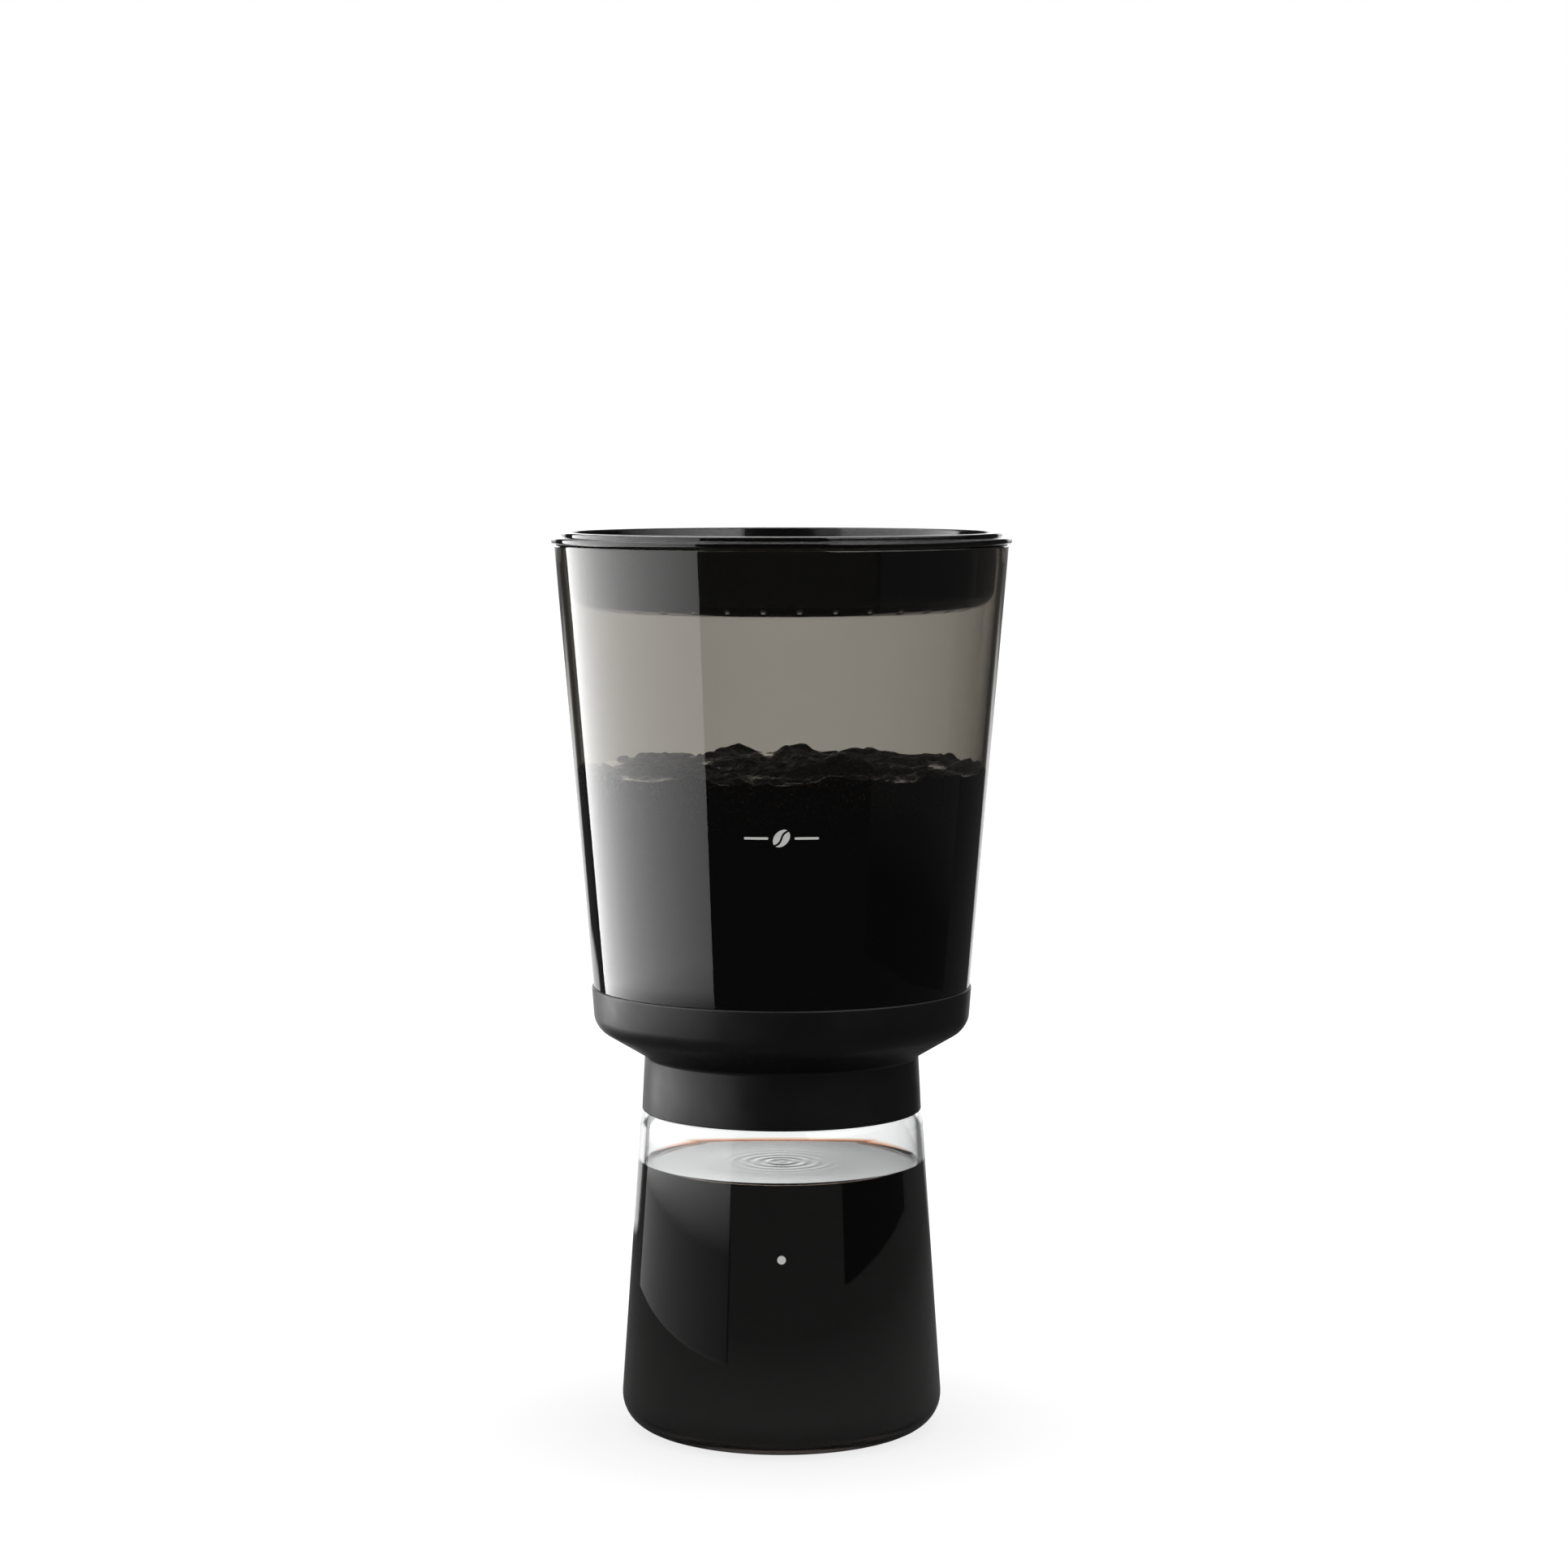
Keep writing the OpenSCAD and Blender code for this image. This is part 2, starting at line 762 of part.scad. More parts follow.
module stem_clip() {
  mouth_w = 1.7 * clip_in_r;
  color("silver")
    translate([0, 0, clip_z])
      difference() {
        ring(clip_in_r, clip_r, clip_t);
        // Mouth through which the clip is pushed on
        translate([0, -mouth_w / 2, -through]) cube([clip_r, mouth_w, clip_t + 2 * through]);
      }
}

carafe_glass();
brew_container();
base_shell();
base_plate();
base_screws();
base_nut();
seat_ring();
drain_fitting();
drain_gasket();
valve_spring();
rain_dish();
filter_frame();
filter_mesh();
filter_gasket();
valve_stem();
valve_seal();
lift_ring();
stem_clip();
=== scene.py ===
# %% [markdown]
# # A cold brew coffee maker
# The object is a stack of three: a glass carafe on the table, a smoky steeping container in a black
# base that stands on it, and a perforated pouring dish that closes the top. Almost every piece is a
# body of revolution, so this lesson is mostly about drawing a good half section and spinning it, and
# about three materials that are hard to get right: clear glass, smoky plastic and very dark liquid.
# The solid model comes in first as a fixed frame, and every new piece is built around its sizes.

# %% Load the frame
import math

import bmesh
import bpy
from mathutils import Matrix, Vector, noise


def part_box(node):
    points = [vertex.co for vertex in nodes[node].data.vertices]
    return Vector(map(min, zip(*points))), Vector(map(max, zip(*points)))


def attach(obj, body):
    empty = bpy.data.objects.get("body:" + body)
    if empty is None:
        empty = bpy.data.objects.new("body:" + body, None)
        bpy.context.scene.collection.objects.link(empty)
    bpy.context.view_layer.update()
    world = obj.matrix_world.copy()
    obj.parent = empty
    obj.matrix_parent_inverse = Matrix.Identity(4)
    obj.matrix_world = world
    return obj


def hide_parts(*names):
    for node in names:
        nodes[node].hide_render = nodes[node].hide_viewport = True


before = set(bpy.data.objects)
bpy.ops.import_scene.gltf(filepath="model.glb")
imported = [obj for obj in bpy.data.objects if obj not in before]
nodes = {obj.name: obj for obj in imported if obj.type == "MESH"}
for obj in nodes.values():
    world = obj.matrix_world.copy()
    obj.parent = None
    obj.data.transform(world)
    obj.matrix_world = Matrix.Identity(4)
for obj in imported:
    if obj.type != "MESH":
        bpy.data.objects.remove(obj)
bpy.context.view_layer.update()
MM = 0.001
HAIR = 1e-6

# %% [markdown]
# ## Measures
# A few heights and widths come straight from the frame, so the pieces keep to the solids if those
# change. The rest are wall thicknesses and roundings, written as real sizes in millimetres.

# %% Measures from the frame
carafe_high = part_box("carafe_glass")[1]
container_low, container_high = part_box("brew_container")
shell_low, shell_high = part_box("base_shell")
dish_low, dish_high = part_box("rain_dish")

CARAFE_RIM_Z = carafe_high.z
SKIRT_Z = shell_low.z
SEAM_Z = shell_high.z
RIM_Z = container_high.z
DISH_Z = dish_low.z
DISH_TOP_Z = dish_high.z
CONTAINER_R = container_high.x
SEAM_R = shell_high.x
FLANGE_R = dish_high.x
GLASS_T = 2.2 * MM
CONTAINER_T = 2.5 * MM
SHELL_T = 2.4 * MM
print("stack height", round(DISH_TOP_Z, 4), "rim radius", round(CONTAINER_R, 4))

# %% [markdown]
# ## Camera
# The photograph was taken with a long lens from a little above the rim of the container. A long lens
# keeps the sides of the stack straight. The camera stands back about 1.27 m and tips down about five
# degrees, and its field also takes in the container and the dish when they are lifted off.

# %% Camera
CAMERA_X = 0.0008
CAMERA_BACK = 1.269
CAMERA_Z = 0.329
CAMERA_TILT = math.radians(5.06)
LENS = 87.6
SENSOR = 36

camera_data = bpy.data.cameras.new("camera")
camera_data.lens = LENS
camera_data.sensor_width = SENSOR
camera = bpy.data.objects.new("camera", camera_data)
camera.location = (CAMERA_X, -CAMERA_BACK, CAMERA_Z)
camera.rotation_euler = (math.pi / 2 - CAMERA_TILT, 0, 0)
bpy.context.scene.collection.objects.link(camera)
bpy.context.scene.camera = camera
bpy.context.scene.view_settings.view_transform = "Standard"
print("camera at", tuple(round(c, 3) for c in camera.location))

# %% [markdown]
# ## Tools for turned pieces
# A half section is drawn as a chain of vertices in the XZ plane. Each corner is rounded by a vertex
# bevel, whose offset follows from the wanted radius and the angle of the corner. Long straight
# stretches are divided, so that shading normals stay true next to the small faces of a rounding.
# A full spin with merging then gives a closed body.

# %% Half sections and spinning
SPIN_STEPS = 192
LONGEST = 6 * MM
LEAST_SEGMENTS = 4
SEGMENT_DEGREES = 8


def draw_chain(bm, corners, closed=False):
    """Adds a wire of (radius, height, rounding) corners and rounds them."""
    verts = [bm.verts.new((r, 0, z)) for r, z, _ in corners]
    count = len(verts)
    last = count if closed else count - 1
    for i in range(last):
        bm.edges.new((verts[i], verts[(i + 1) % count]))
    places = [v.co.copy() for v in verts]
    for i, (_, _, rounding) in enumerate(corners):
        if not rounding:
            continue
        into = (places[i] - places[i - 1]).normalized()
        out = (places[(i + 1) % count] - places[i]).normalized()
        turn = into.angle(out)
        bmesh.ops.bevel(
            bm, geom=[verts[i]], offset=rounding * math.tan(turn / 2), offset_type="OFFSET",
            segments=max(LEAST_SEGMENTS, round(math.degrees(turn) / SEGMENT_DEGREES)), profile=0.5,
            affect="VERTICES", clamp_overlap=False, material=-1,
        )


def divide_long(bm, longest=LONGEST):
    """Cuts wire edges that are longer than the given length."""
    for edge in list(bm.edges):
        cuts = math.ceil(edge.calc_length() / longest) - 1
        if cuts > 0:
            bmesh.ops.subdivide_edges(bm, edges=[edge], cuts=cuts)


def spin_closed(bm):
    """Spins the wire once round Z and turns every face outwards."""
    bmesh.ops.spin(
        bm, geom=bm.verts[:] + bm.edges[:], cent=(0, 0, 0), axis=(0, 0, 1),
        angle=2 * math.pi, steps=SPIN_STEPS, use_merge=True, use_duplicate=False,
    )
    bmesh.ops.remove_doubles(bm, verts=bm.verts[:], dist=HAIR)
    bmesh.ops.recalc_face_normals(bm, faces=bm.faces[:])


def make_object(bm, name, *materials, smooth_angle=30):
    """Turns a bmesh into a smooth-shaded object at the origin with its materials."""
    mesh = bpy.data.meshes.new(name)
    bm.to_mesh(mesh)
    bm.free()
    mesh.shade_smooth()
    mesh.set_sharp_from_angle(angle=math.radians(smooth_angle))
    for material in materials:
        mesh.materials.append(material)
    made = bpy.data.objects.new(name, mesh)
    bpy.context.scene.collection.objects.link(made)
    print(name, len(mesh.polygons), "faces")
    return made


def turned(name, corners, material, closed=True):
    """A body of revolution from the corners of its half section."""
    bm = bmesh.new()
    draw_chain(bm, corners, closed)
    divide_long(bm)
    spin_closed(bm)
    return make_object(bm, name, material)


# %% [markdown]
# ## Tools for materials
# Every material starts from the principled shader. Values that are the same all over are set on its
# sockets, and a little noise on Object coordinates varies roughness and relief, since no moulded or
# blown surface is perfectly even. Most of a noise lies in the middle of its range, so that part is
# spread over the wanted values.

# %% Material helpers
MOST_NOISE = (0.3, 0.7)


def principled(name, colour, roughness, **sockets):
    """A new material and its principled node; further socket values go in by name."""
    material = bpy.data.materials.new(name)
    material.use_nodes = True
    shader = material.node_tree.nodes["Principled BSDF"]
    shader.inputs["Base Color"].default_value = (*colour, 1)
    shader.inputs["Roughness"].default_value = roughness
    for socket, value in sockets.items():
        shader.inputs[socket.replace("_", " ")].default_value = value
    print("material", name)
    return material, shader


def add_node(material, kind, **values):
    """A node of the given kind with input values set by name."""
    node = material.node_tree.nodes.new(kind)
    for socket, value in values.items():
        node.inputs[socket.replace("_", " ")].default_value = value
    return node


def noise_on_object(material, scale, detail=4.0, roughness=0.5):
    """The value of a noise texture that reads Object coordinates."""
    coordinates = material.node_tree.nodes.new("ShaderNodeTexCoord")
    texture = add_node(material, "ShaderNodeTexNoise", Scale=scale, Detail=detail, Roughness=roughness)
    material.node_tree.links.new(coordinates.outputs["Object"], texture.inputs["Vector"])
    return texture.outputs[0]


def split_coordinates(tree, kind):
    """X, Y and Z outputs of a coordinate kind."""
    coordinates = tree.nodes.new("ShaderNodeTexCoord")
    split = tree.nodes.new("ShaderNodeSeparateXYZ")
    tree.links.new(coordinates.outputs[kind], split.inputs[0])
    return split.outputs


def calc(tree, operation, first, second):
    """A math node of two values, each a socket or a number."""
    node = tree.nodes.new("ShaderNodeMath")
    node.operation = operation
    for i, value in enumerate((first, second)):
        if isinstance(value, bpy.types.NodeSocket):
            tree.links.new(value, node.inputs[i])
        else:
            node.inputs[i].default_value = value
    return node.outputs[0]


def spread(tree, value, source, target):
    """Maps a value from one range to another."""
    remap = tree.nodes.new("ShaderNodeMapRange")
    remap.inputs["From Min"].default_value, remap.inputs["From Max"].default_value = source
    remap.inputs["To Min"].default_value, remap.inputs["To Max"].default_value = target
    tree.links.new(value, remap.inputs["Value"])
    return remap.outputs["Result"]


def vary(material, value, socket, low, high):
    """Maps a noise's value to a range and links it to a shader socket."""
    tree = material.node_tree
    tree.links.new(spread(tree, value, MOST_NOISE, (low, high)), socket)


def relief(material, height, shader, strength, distance):
    """Uses a value as the height of fine relief on a shader."""
    bump = add_node(material, "ShaderNodeBump", Strength=strength, Distance=distance)
    material.node_tree.links.new(height, bump.inputs["Height"])
    material.node_tree.links.new(bump.outputs["Normal"], shader.inputs["Normal"])


# %% [markdown]
# ## Clear glass
# The carafe is thin blown glass. Full transmission with the index of glass gives the bright edges and
# dark lines by itself, because the wall has a real thickness. Noise gives faint wiping marks.

# %% Clear glass
clear_glass, shader = principled(
    "clear_glass", (0.985, 0.995, 0.992), 0.0, IOR=1.5, Transmission_Weight=1.0,
)
vary(clear_glass, noise_on_object(clear_glass, 35), shader.inputs["Roughness"], 0.0, 0.02)
relief(clear_glass, noise_on_object(clear_glass, 14, 1), shader, 0.05, 1.0 * MM)

# %% [markdown]
# ## Smoky plastic
# Container and dish are moulded from grey-brown translucent plastic. Its tint lies in the depth of the
# material, so the edge of a wall looks darker than its face. An absorbing volume does that, where a
# tinted surface would look the same at every thickness. The dish is darker than the container, and
# finely frosted on the inside.

# %% Smoky plastic
SMOKE = (0.49, 0.46, 0.40)


def absorb(material, colour, density):
    """Gives a material a tint that grows with the depth of the material."""
    volume = material.node_tree.nodes.new("ShaderNodeVolumeAbsorption")
    volume.inputs["Color"].default_value = (*colour, 1)
    volume.inputs["Density"].default_value = density
    output = material.node_tree.nodes["Material Output"]
    material.node_tree.links.new(volume.outputs["Volume"], output.inputs["Volume"])


def smoky(name, density, smoothest, roughest):
    """Translucent grey-brown plastic of the given depth of colour and range of roughness."""
    material, shader = principled(name, (1.0, 1.0, 1.0), roughest, IOR=1.53, Transmission_Weight=1.0)
    vary(material, noise_on_object(material, 60), shader.inputs["Roughness"], smoothest, roughest)
    relief(material, noise_on_object(material, 22, 1), shader, 0.03, 1.0 * MM)
    absorb(material, SMOKE, density)
    return material


smoky_container = smoky("smoky_container", 520, 0.0, 0.012)
polished_dish = smoky("polished_dish", 2000, 0.0, 0.02)
frosted_dish = smoky("frosted_dish", 2000, 0.1, 0.14)

# %% [markdown]
# ## Black base
# The base is black plastic with a fine eroded texture from the mould. It keeps highlights broad and
# soft. Two noises at different scales carry the grain and the slow change of gloss.

# %% Black base plastic
base_black, shader = principled("base_black", (0.004, 0.004, 0.0042), 0.4, Specular_IOR_Level=0.36)
vary(base_black, noise_on_object(base_black, 90), shader.inputs["Roughness"], 0.34, 0.46)
relief(base_black, noise_on_object(base_black, 3200, 2), shader, 0.18, 0.1 * MM)

# %% [markdown]
# ## Inner materials
# The pieces inside the base are plain black plastic, silicone and stainless steel. Plain values do
# for them, with a little noise in gloss or relief.

# %% Silicone, inner plastic and steel
silicone, shader = principled("silicone_grey", (0.045, 0.045, 0.047), 0.55)
vary(silicone, noise_on_object(silicone, 140), shader.inputs["Roughness"], 0.48, 0.62)

inner_black, shader = principled("inner_black", (0.02, 0.02, 0.021), 0.35)
relief(inner_black, noise_on_object(inner_black, 1500, 2), shader, 0.12, 0.1 * MM)

steel, shader = principled("stainless_steel", (0.6, 0.6, 0.58), 0.28, Metallic=1.0)
vary(steel, noise_on_object(steel, 300), shader.inputs["Roughness"], 0.2, 0.36)

# %% [markdown]
# ## Wire cloth
# The filter is a disc of fine woven wire, too fine to model thread by thread. Two crossed waves,
# multiplied, lift the surface where the wires cross.

# %% Wire cloth
wire_cloth, shader = principled("wire_cloth", (0.58, 0.58, 0.56), 0.35, Metallic=1.0)
tree = wire_cloth.node_tree
coordinates = tree.nodes.new("ShaderNodeTexCoord")
waves = []
for direction in ("X", "Y"):
    wave = add_node(wire_cloth, "ShaderNodeTexWave", Scale=700.0)
    wave.bands_direction = direction
    tree.links.new(coordinates.outputs["Object"], wave.inputs["Vector"])
    waves.append(wave.outputs["Fac"])
relief(wire_cloth, calc(tree, "MULTIPLY", *waves), shader, 0.6, 0.2 * MM)

# %% [markdown]
# ## Brewed coffee
# Brewed coffee is clear but deeply coloured: a thin film of it glows orange, and a glassful is black
# with a mirror on top. The absorbing volume does both.

# %% Brewed coffee
BREW_IOR = 1.34
coffee, shader = principled("brewed_coffee", (1.0, 1.0, 1.0), 0.0, IOR=BREW_IOR, Transmission_Weight=1.0)
vary(coffee, noise_on_object(coffee, 20), shader.inputs["Roughness"], 0.0, 0.01)
absorb(coffee, (0.78, 0.36, 0.08), 1800)

# %% [markdown]
# ## Wet grounds
# The grounds are opaque, with brown grains among black ones. Under the level the brew swallows the
# brown, and clumps let some of it reach further down. The side that touches the wall gets no gloss of
# its own, since the wall in front of it already has one. The top is rough above the level and smooth
# where brew stands on it.

# %% Wet grounds
LEVEL_Z = 222 * MM
CLUMP = 7 * MM
DEEP_BREW = (0.0015, 0.0012, 0.001)
DARK_GRAIN = (0.008, 0.005, 0.003)
BROWN_GRAIN = (0.3, 0.17, 0.07)


def blend(material, factor, first, second):
    """A colour between two, of which the second may be a socket."""
    mix = material.node_tree.nodes.new("ShaderNodeMix")
    mix.data_type = "RGBA"
    mix.inputs["A"].default_value = (*first, 1)
    material.node_tree.links.new(factor, mix.inputs["Factor"])
    if isinstance(second, bpy.types.NodeSocket):
        material.node_tree.links.new(second, mix.inputs["B"])
    else:
        mix.inputs["B"].default_value = (*second, 1)
    return mix.outputs["Result"]


def grounds_material(name, start, end, **sockets):
    """Black brew with brown flecks, which fade in unevenly between two heights."""
    material, shader = principled(name, DEEP_BREW, 0.35, **sockets)
    tree = material.node_tree
    grains = noise_on_object(material, 900, 5, 0.7)
    flecks = blend(material, spread(tree, grains, (0.54, 0.66), (0, 1)), DARK_GRAIN, BROWN_GRAIN)
    clumps = spread(tree, noise_on_object(material, 110, 3), (0.35, 0.65), (-CLUMP, CLUMP))
    height = calc(tree, "ADD", split_coordinates(tree, "Object")["Z"], clumps)
    depth = spread(tree, height, (start, end), (0, 1))
    tree.links.new(blend(material, depth, DEEP_BREW, flecks), shader.inputs["Base Color"])
    return material, shader, grains


soaked_grounds = grounds_material(
    "soaked_grounds", LEVEL_Z - 15 * MM, LEVEL_Z + 2 * MM, Specular_IOR_Level=0.0,
)[0]
wet_grounds, shader, grains = grounds_material(
    "wet_grounds", LEVEL_Z - 4 * MM, LEVEL_Z + 3 * MM, IOR=BREW_IOR,
)
tree = wet_grounds.node_tree
height = split_coordinates(tree, "Object")["Z"]
above = spread(tree, height, (LEVEL_Z + 0.1 * MM, LEVEL_Z + 0.8 * MM), (0, 1))
tree.links.new(spread(tree, above, (0, 1), (0.12, 0.42)), shader.inputs["Roughness"])
relief(wet_grounds, calc(tree, "MULTIPLY", grains, above), shader, 0.8, 1.5 * MM)

# %% [markdown]
# ## White ink
# The marks on the front are printed in matt white ink, whose gloss is a little uneven. A plain colour
# is enough for it, because the drawing comes later as a mesh of its own.

# %% White ink
white_ink, shader = principled("white_ink", (0.8, 0.8, 0.78), 0.6)
vary(white_ink, noise_on_object(white_ink, 900), shader.inputs["Roughness"], 0.5, 0.7)

# %% [markdown]
# ## Carafe
# The carafe has a shallow hollow under its foot, a round heel, a side that leans in a little, a round
# shoulder and a short neck that opens to the rim. Only the outside is drawn. Solidify gives the
# glass its even wall on the inside, and a bevel rounds the fire-polished rim. Blown glass gathers at
# the bottom, so the inner floor is raised a little, which shows as a bright line round the foot.

# %% Carafe
SIDE_LEAN = 0.0685
WIDEST_Z = 12 * MM
FOOT_R = carafe_high.x + WIDEST_Z * SIDE_LEAN
SHOULDER_R = 47.1 * MM
SHOULDER_Z = SKIRT_Z
NECK_FOOT_R = 26.2 * MM
NECK_FOOT_Z = CARAFE_RIM_Z - 13.3 * MM
MOUTH_R = 27.4 * MM
PUNT_R = 36 * MM
PUNT_H = 1.2 * MM
HEEL_H = 16 * MM
BOTTOM_EXTRA = 1.6 * MM
SHARP = math.radians(60)
CARAFE_MIDDLE = Vector((0, 0, 60 * MM))


def faces_inwards(face):
    """Whether a face of the carafe's wall looks at the inside."""
    return face.normal.dot(face.calc_center_median() - CARAFE_MIDDLE) < 0


def on_rim(edge):
    """Whether an edge of the carafe is one of the sharp ones at its rim."""
    high = min(v.co.z for v in edge.verts) > CARAFE_RIM_Z - GLASS_T
    return high and abs(edge.calc_face_angle(0)) > SHARP


bm = bmesh.new()
draw_chain(bm, [
    (0, PUNT_H, 0),
    (PUNT_R, 0, 0),
    (FOOT_R, 0, 11 * MM),
    (SHOULDER_R, SHOULDER_Z, 10 * MM),
    (NECK_FOOT_R, NECK_FOOT_Z, 3 * MM),
    (MOUTH_R, CARAFE_RIM_Z, 0),
])
divide_long(bm)
spin_closed(bm)
bmesh.ops.solidify(bm, geom=bm.faces[:], thickness=GLASS_T)
bmesh.ops.bevel(
    bm, geom=[e for e in bm.edges if on_rim(e)], offset=0.45 * GLASS_T, offset_type="OFFSET",
    segments=5, profile=0.5, affect="EDGES", clamp_overlap=True, material=-1,
)
for v in {v for f in bm.faces if faces_inwards(f) for v in f.verts}:
    v.co.z += BOTTOM_EXTRA * max(0, 1 - v.co.z / HEEL_H) ** 2
carafe = make_object(bm, "carafe", clear_glass)
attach(carafe, "carafe")
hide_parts("carafe_glass")

# %% [markdown]
# ## Coffee in the carafe
# The coffee fills the glass to a little under the shoulder. It takes the form of the glass, so its body
# is the inner face of the wall, cut at the level and turned round. Liquid touches the glass everywhere,
# so the body reaches a hair's breadth into the wall: the light then bends once from glass to coffee,
# and the black goes out to the edge. The rim climbs the wall in a small meniscus, and low rings run
# out from the middle and die away before the wall.

# %% Coffee in the carafe
COFFEE_Z = 89 * MM
WETTING = 0.05 * MM
MENISCUS = ((0.0, 1.6), (0.25, 0.85), (0.7, 0.38), (1.5, 0.1), (2.6, 0.0))
RIPPLE_R = 24 * MM
RIPPLE_STEP = 0.4 * MM
RIPPLE_LENGTH = 4.2 * MM
RIPPLE_H = 0.2 * MM
RIPPLE_RISE = 5 * MM
RIPPLE_FALL = 13 * MM


def ripple(r):
    """Height of the rings over the calm level at radius r."""
    fade = (1 - math.exp(-r / RIPPLE_RISE)) * math.exp(-r / RIPPLE_FALL) * (1 - r / RIPPLE_R)
    return RIPPLE_H * fade * math.cos(2 * math.pi * r / RIPPLE_LENGTH)


bm = bmesh.new()
bm.from_mesh(carafe.data)
bmesh.ops.delete(bm, geom=[f for f in bm.faces if not faces_inwards(f)], context="FACES")
climb_z = COFFEE_Z + MENISCUS[0][1] * MM
bmesh.ops.bisect_plane(
    bm, geom=bm.verts[:] + bm.edges[:] + bm.faces[:], plane_co=(0, 0, climb_z), plane_no=(0, 0, 1),
    clear_outer=True,
)
bmesh.ops.reverse_faces(bm, faces=bm.faces[:])
bm.normal_update()
for v in bm.verts:
    v.co += v.normal * WETTING
rim = [e for e in bm.edges if e.is_boundary]
wall_r = max(v.co.xy.length for e in rim for v in e.verts)
rings = [(wall_r - inwards * MM, up * MM) for inwards, up in MENISCUS[1:]]
ring_count = round(RIPPLE_R / RIPPLE_STEP)
rings += [(i * RIPPLE_STEP, ripple(i * RIPPLE_STEP)) for i in range(ring_count, 0, -1)]
for radius, up in rings:
    grown = bmesh.ops.extrude_edge_only(bm, edges=rim)["geom"]
    rim = [e for e in grown if isinstance(e, bmesh.types.BMEdge)]
    for v in {v for e in rim for v in e.verts}:
        v.co.xy *= radius / v.co.xy.length
        v.co.z = COFFEE_Z + up
bmesh.ops.edgeloop_fill(bm, edges=rim)
bmesh.ops.recalc_face_normals(bm, faces=bm.faces[:])
coffee_body = make_object(bm, "coffee", coffee)
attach(coffee_body, "carafe")

# %% [markdown]
# ## Steeping container
# The container leans outwards to its rim and has a floor that falls to the drain. Under the seam it
# steps in, to stand inside the band of the base. Hub and foot have thicknesses of their own, so
# solidify won't do here: the half section is drawn all the way round, outside and inside.

# %% Steeping container
fitting_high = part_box("drain_fitting")[1]
plate_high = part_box("base_plate")[1]
CONTAINER_FOOT_R = SEAM_R - 0.6 * MM
CONTAINER_LEAN = (CONTAINER_R - CONTAINER_FOOT_R) / (RIM_Z - SEAM_Z)
LAND_Z = fitting_high.z
HUB_Z = plate_high.z
RECESS_Z = HUB_Z + 2.4 * MM
RECESS_R = fitting_high.x + 0.35 * MM
HUB_R = RECESS_R + 2.4 * MM
BORE_R = 10.6 * MM
SPIGOT_R = SEAM_R - 2.5 * MM
SPIGOT_IN_R = SPIGOT_R - 2 * MM
SPIGOT_Z = container_low.z + 0.35 * MM
FLOOR_RISE = 2 * MM


def container_out(z):
    """Outer radius of the container at height z."""
    return CONTAINER_R - (RIM_Z - z) * CONTAINER_LEAN


def container_in(z):
    """Inner radius of the container at height z."""
    return container_out(z) - CONTAINER_T


def floor_at(r):
    """Height of the container's floor at radius r."""
    return LAND_Z + (r - RECESS_R) * FLOOR_RISE / (container_in(LAND_Z) - RECESS_R)


container = turned("container", [
    (BORE_R, HUB_Z, 0),
    (HUB_R, HUB_Z, 0.5 * MM),
    (HUB_R, floor_at(HUB_R) - CONTAINER_T, 0.5 * MM),
    (SPIGOT_IN_R, floor_at(SPIGOT_IN_R) - CONTAINER_T, 0.5 * MM),
    (SPIGOT_IN_R, SPIGOT_Z, 0.5 * MM),
    (SPIGOT_R, SPIGOT_Z, 0.5 * MM),
    (SPIGOT_R, SEAM_Z, 0),
    (container_out(SEAM_Z), SEAM_Z, 0.15 * MM),
    (container_out(RIM_Z), RIM_Z, 0.9 * MM),
    (container_in(RIM_Z), RIM_Z, 0.9 * MM),
    (container_in(LAND_Z + FLOOR_RISE), LAND_Z + FLOOR_RISE, 4 * MM),
    (RECESS_R, LAND_Z, 0.2 * MM),
    (RECESS_R, RECESS_Z, 0),
    (BORE_R, RECESS_Z, 0),
], smoky_container)
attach(container, "brewer")
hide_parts("brew_container")

# %% [markdown]
# ## Base
# The base is one hollow shell: an upright band that holds the container, a cone that draws in, and a
# skirt that stands on the shoulder of the carafe. The shell is turned, and four bosses for the screws
# of the base plate are cylinders whose feet follow the wall of the cone. The feet end inside that
# wall, so no boolean is needed to join them.

# %% Base shell
seat_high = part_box("seat_ring")[1]
screws_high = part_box("base_screws")[1]
BAND_Z = SEAM_Z - 13.3 * MM
BAND_R = 62.6 * MM
WAIST_Z = SKIRT_Z + 18.6 * MM
WAIST_R = 45.9 * MM
SKIRT_R = 46.85 * MM
SKIRT_LEAN = (SKIRT_R - WAIST_R) / (WAIST_Z - SKIRT_Z)
SPIGOT_PLAY = 0.1 * MM
LIP_H = 2.4 * MM
LEDGE_R = SPIGOT_R - 3.5 * MM
PLATE_Z = plate_high.z - 2 * MM
SEAT_R = 38 * MM
SEAT_Z = seat_high.z
SEAT_T = 2 * MM
SCREW_HEAD_R = 2.4 * MM
BOSS_R = 3 * MM
BOSS_H = 8 * MM


def skirt_in(z):
    """Inner radius of the skirt at height z."""
    return SKIRT_R - SHELL_T - (z - SKIRT_Z) * SKIRT_LEAN


def cone_middle(r):
    """Height inside the wall of the cone at radius r."""
    return WAIST_Z + (r - WAIST_R) * (BAND_Z - WAIST_Z) / (BAND_R - WAIST_R) + SHELL_T / 2


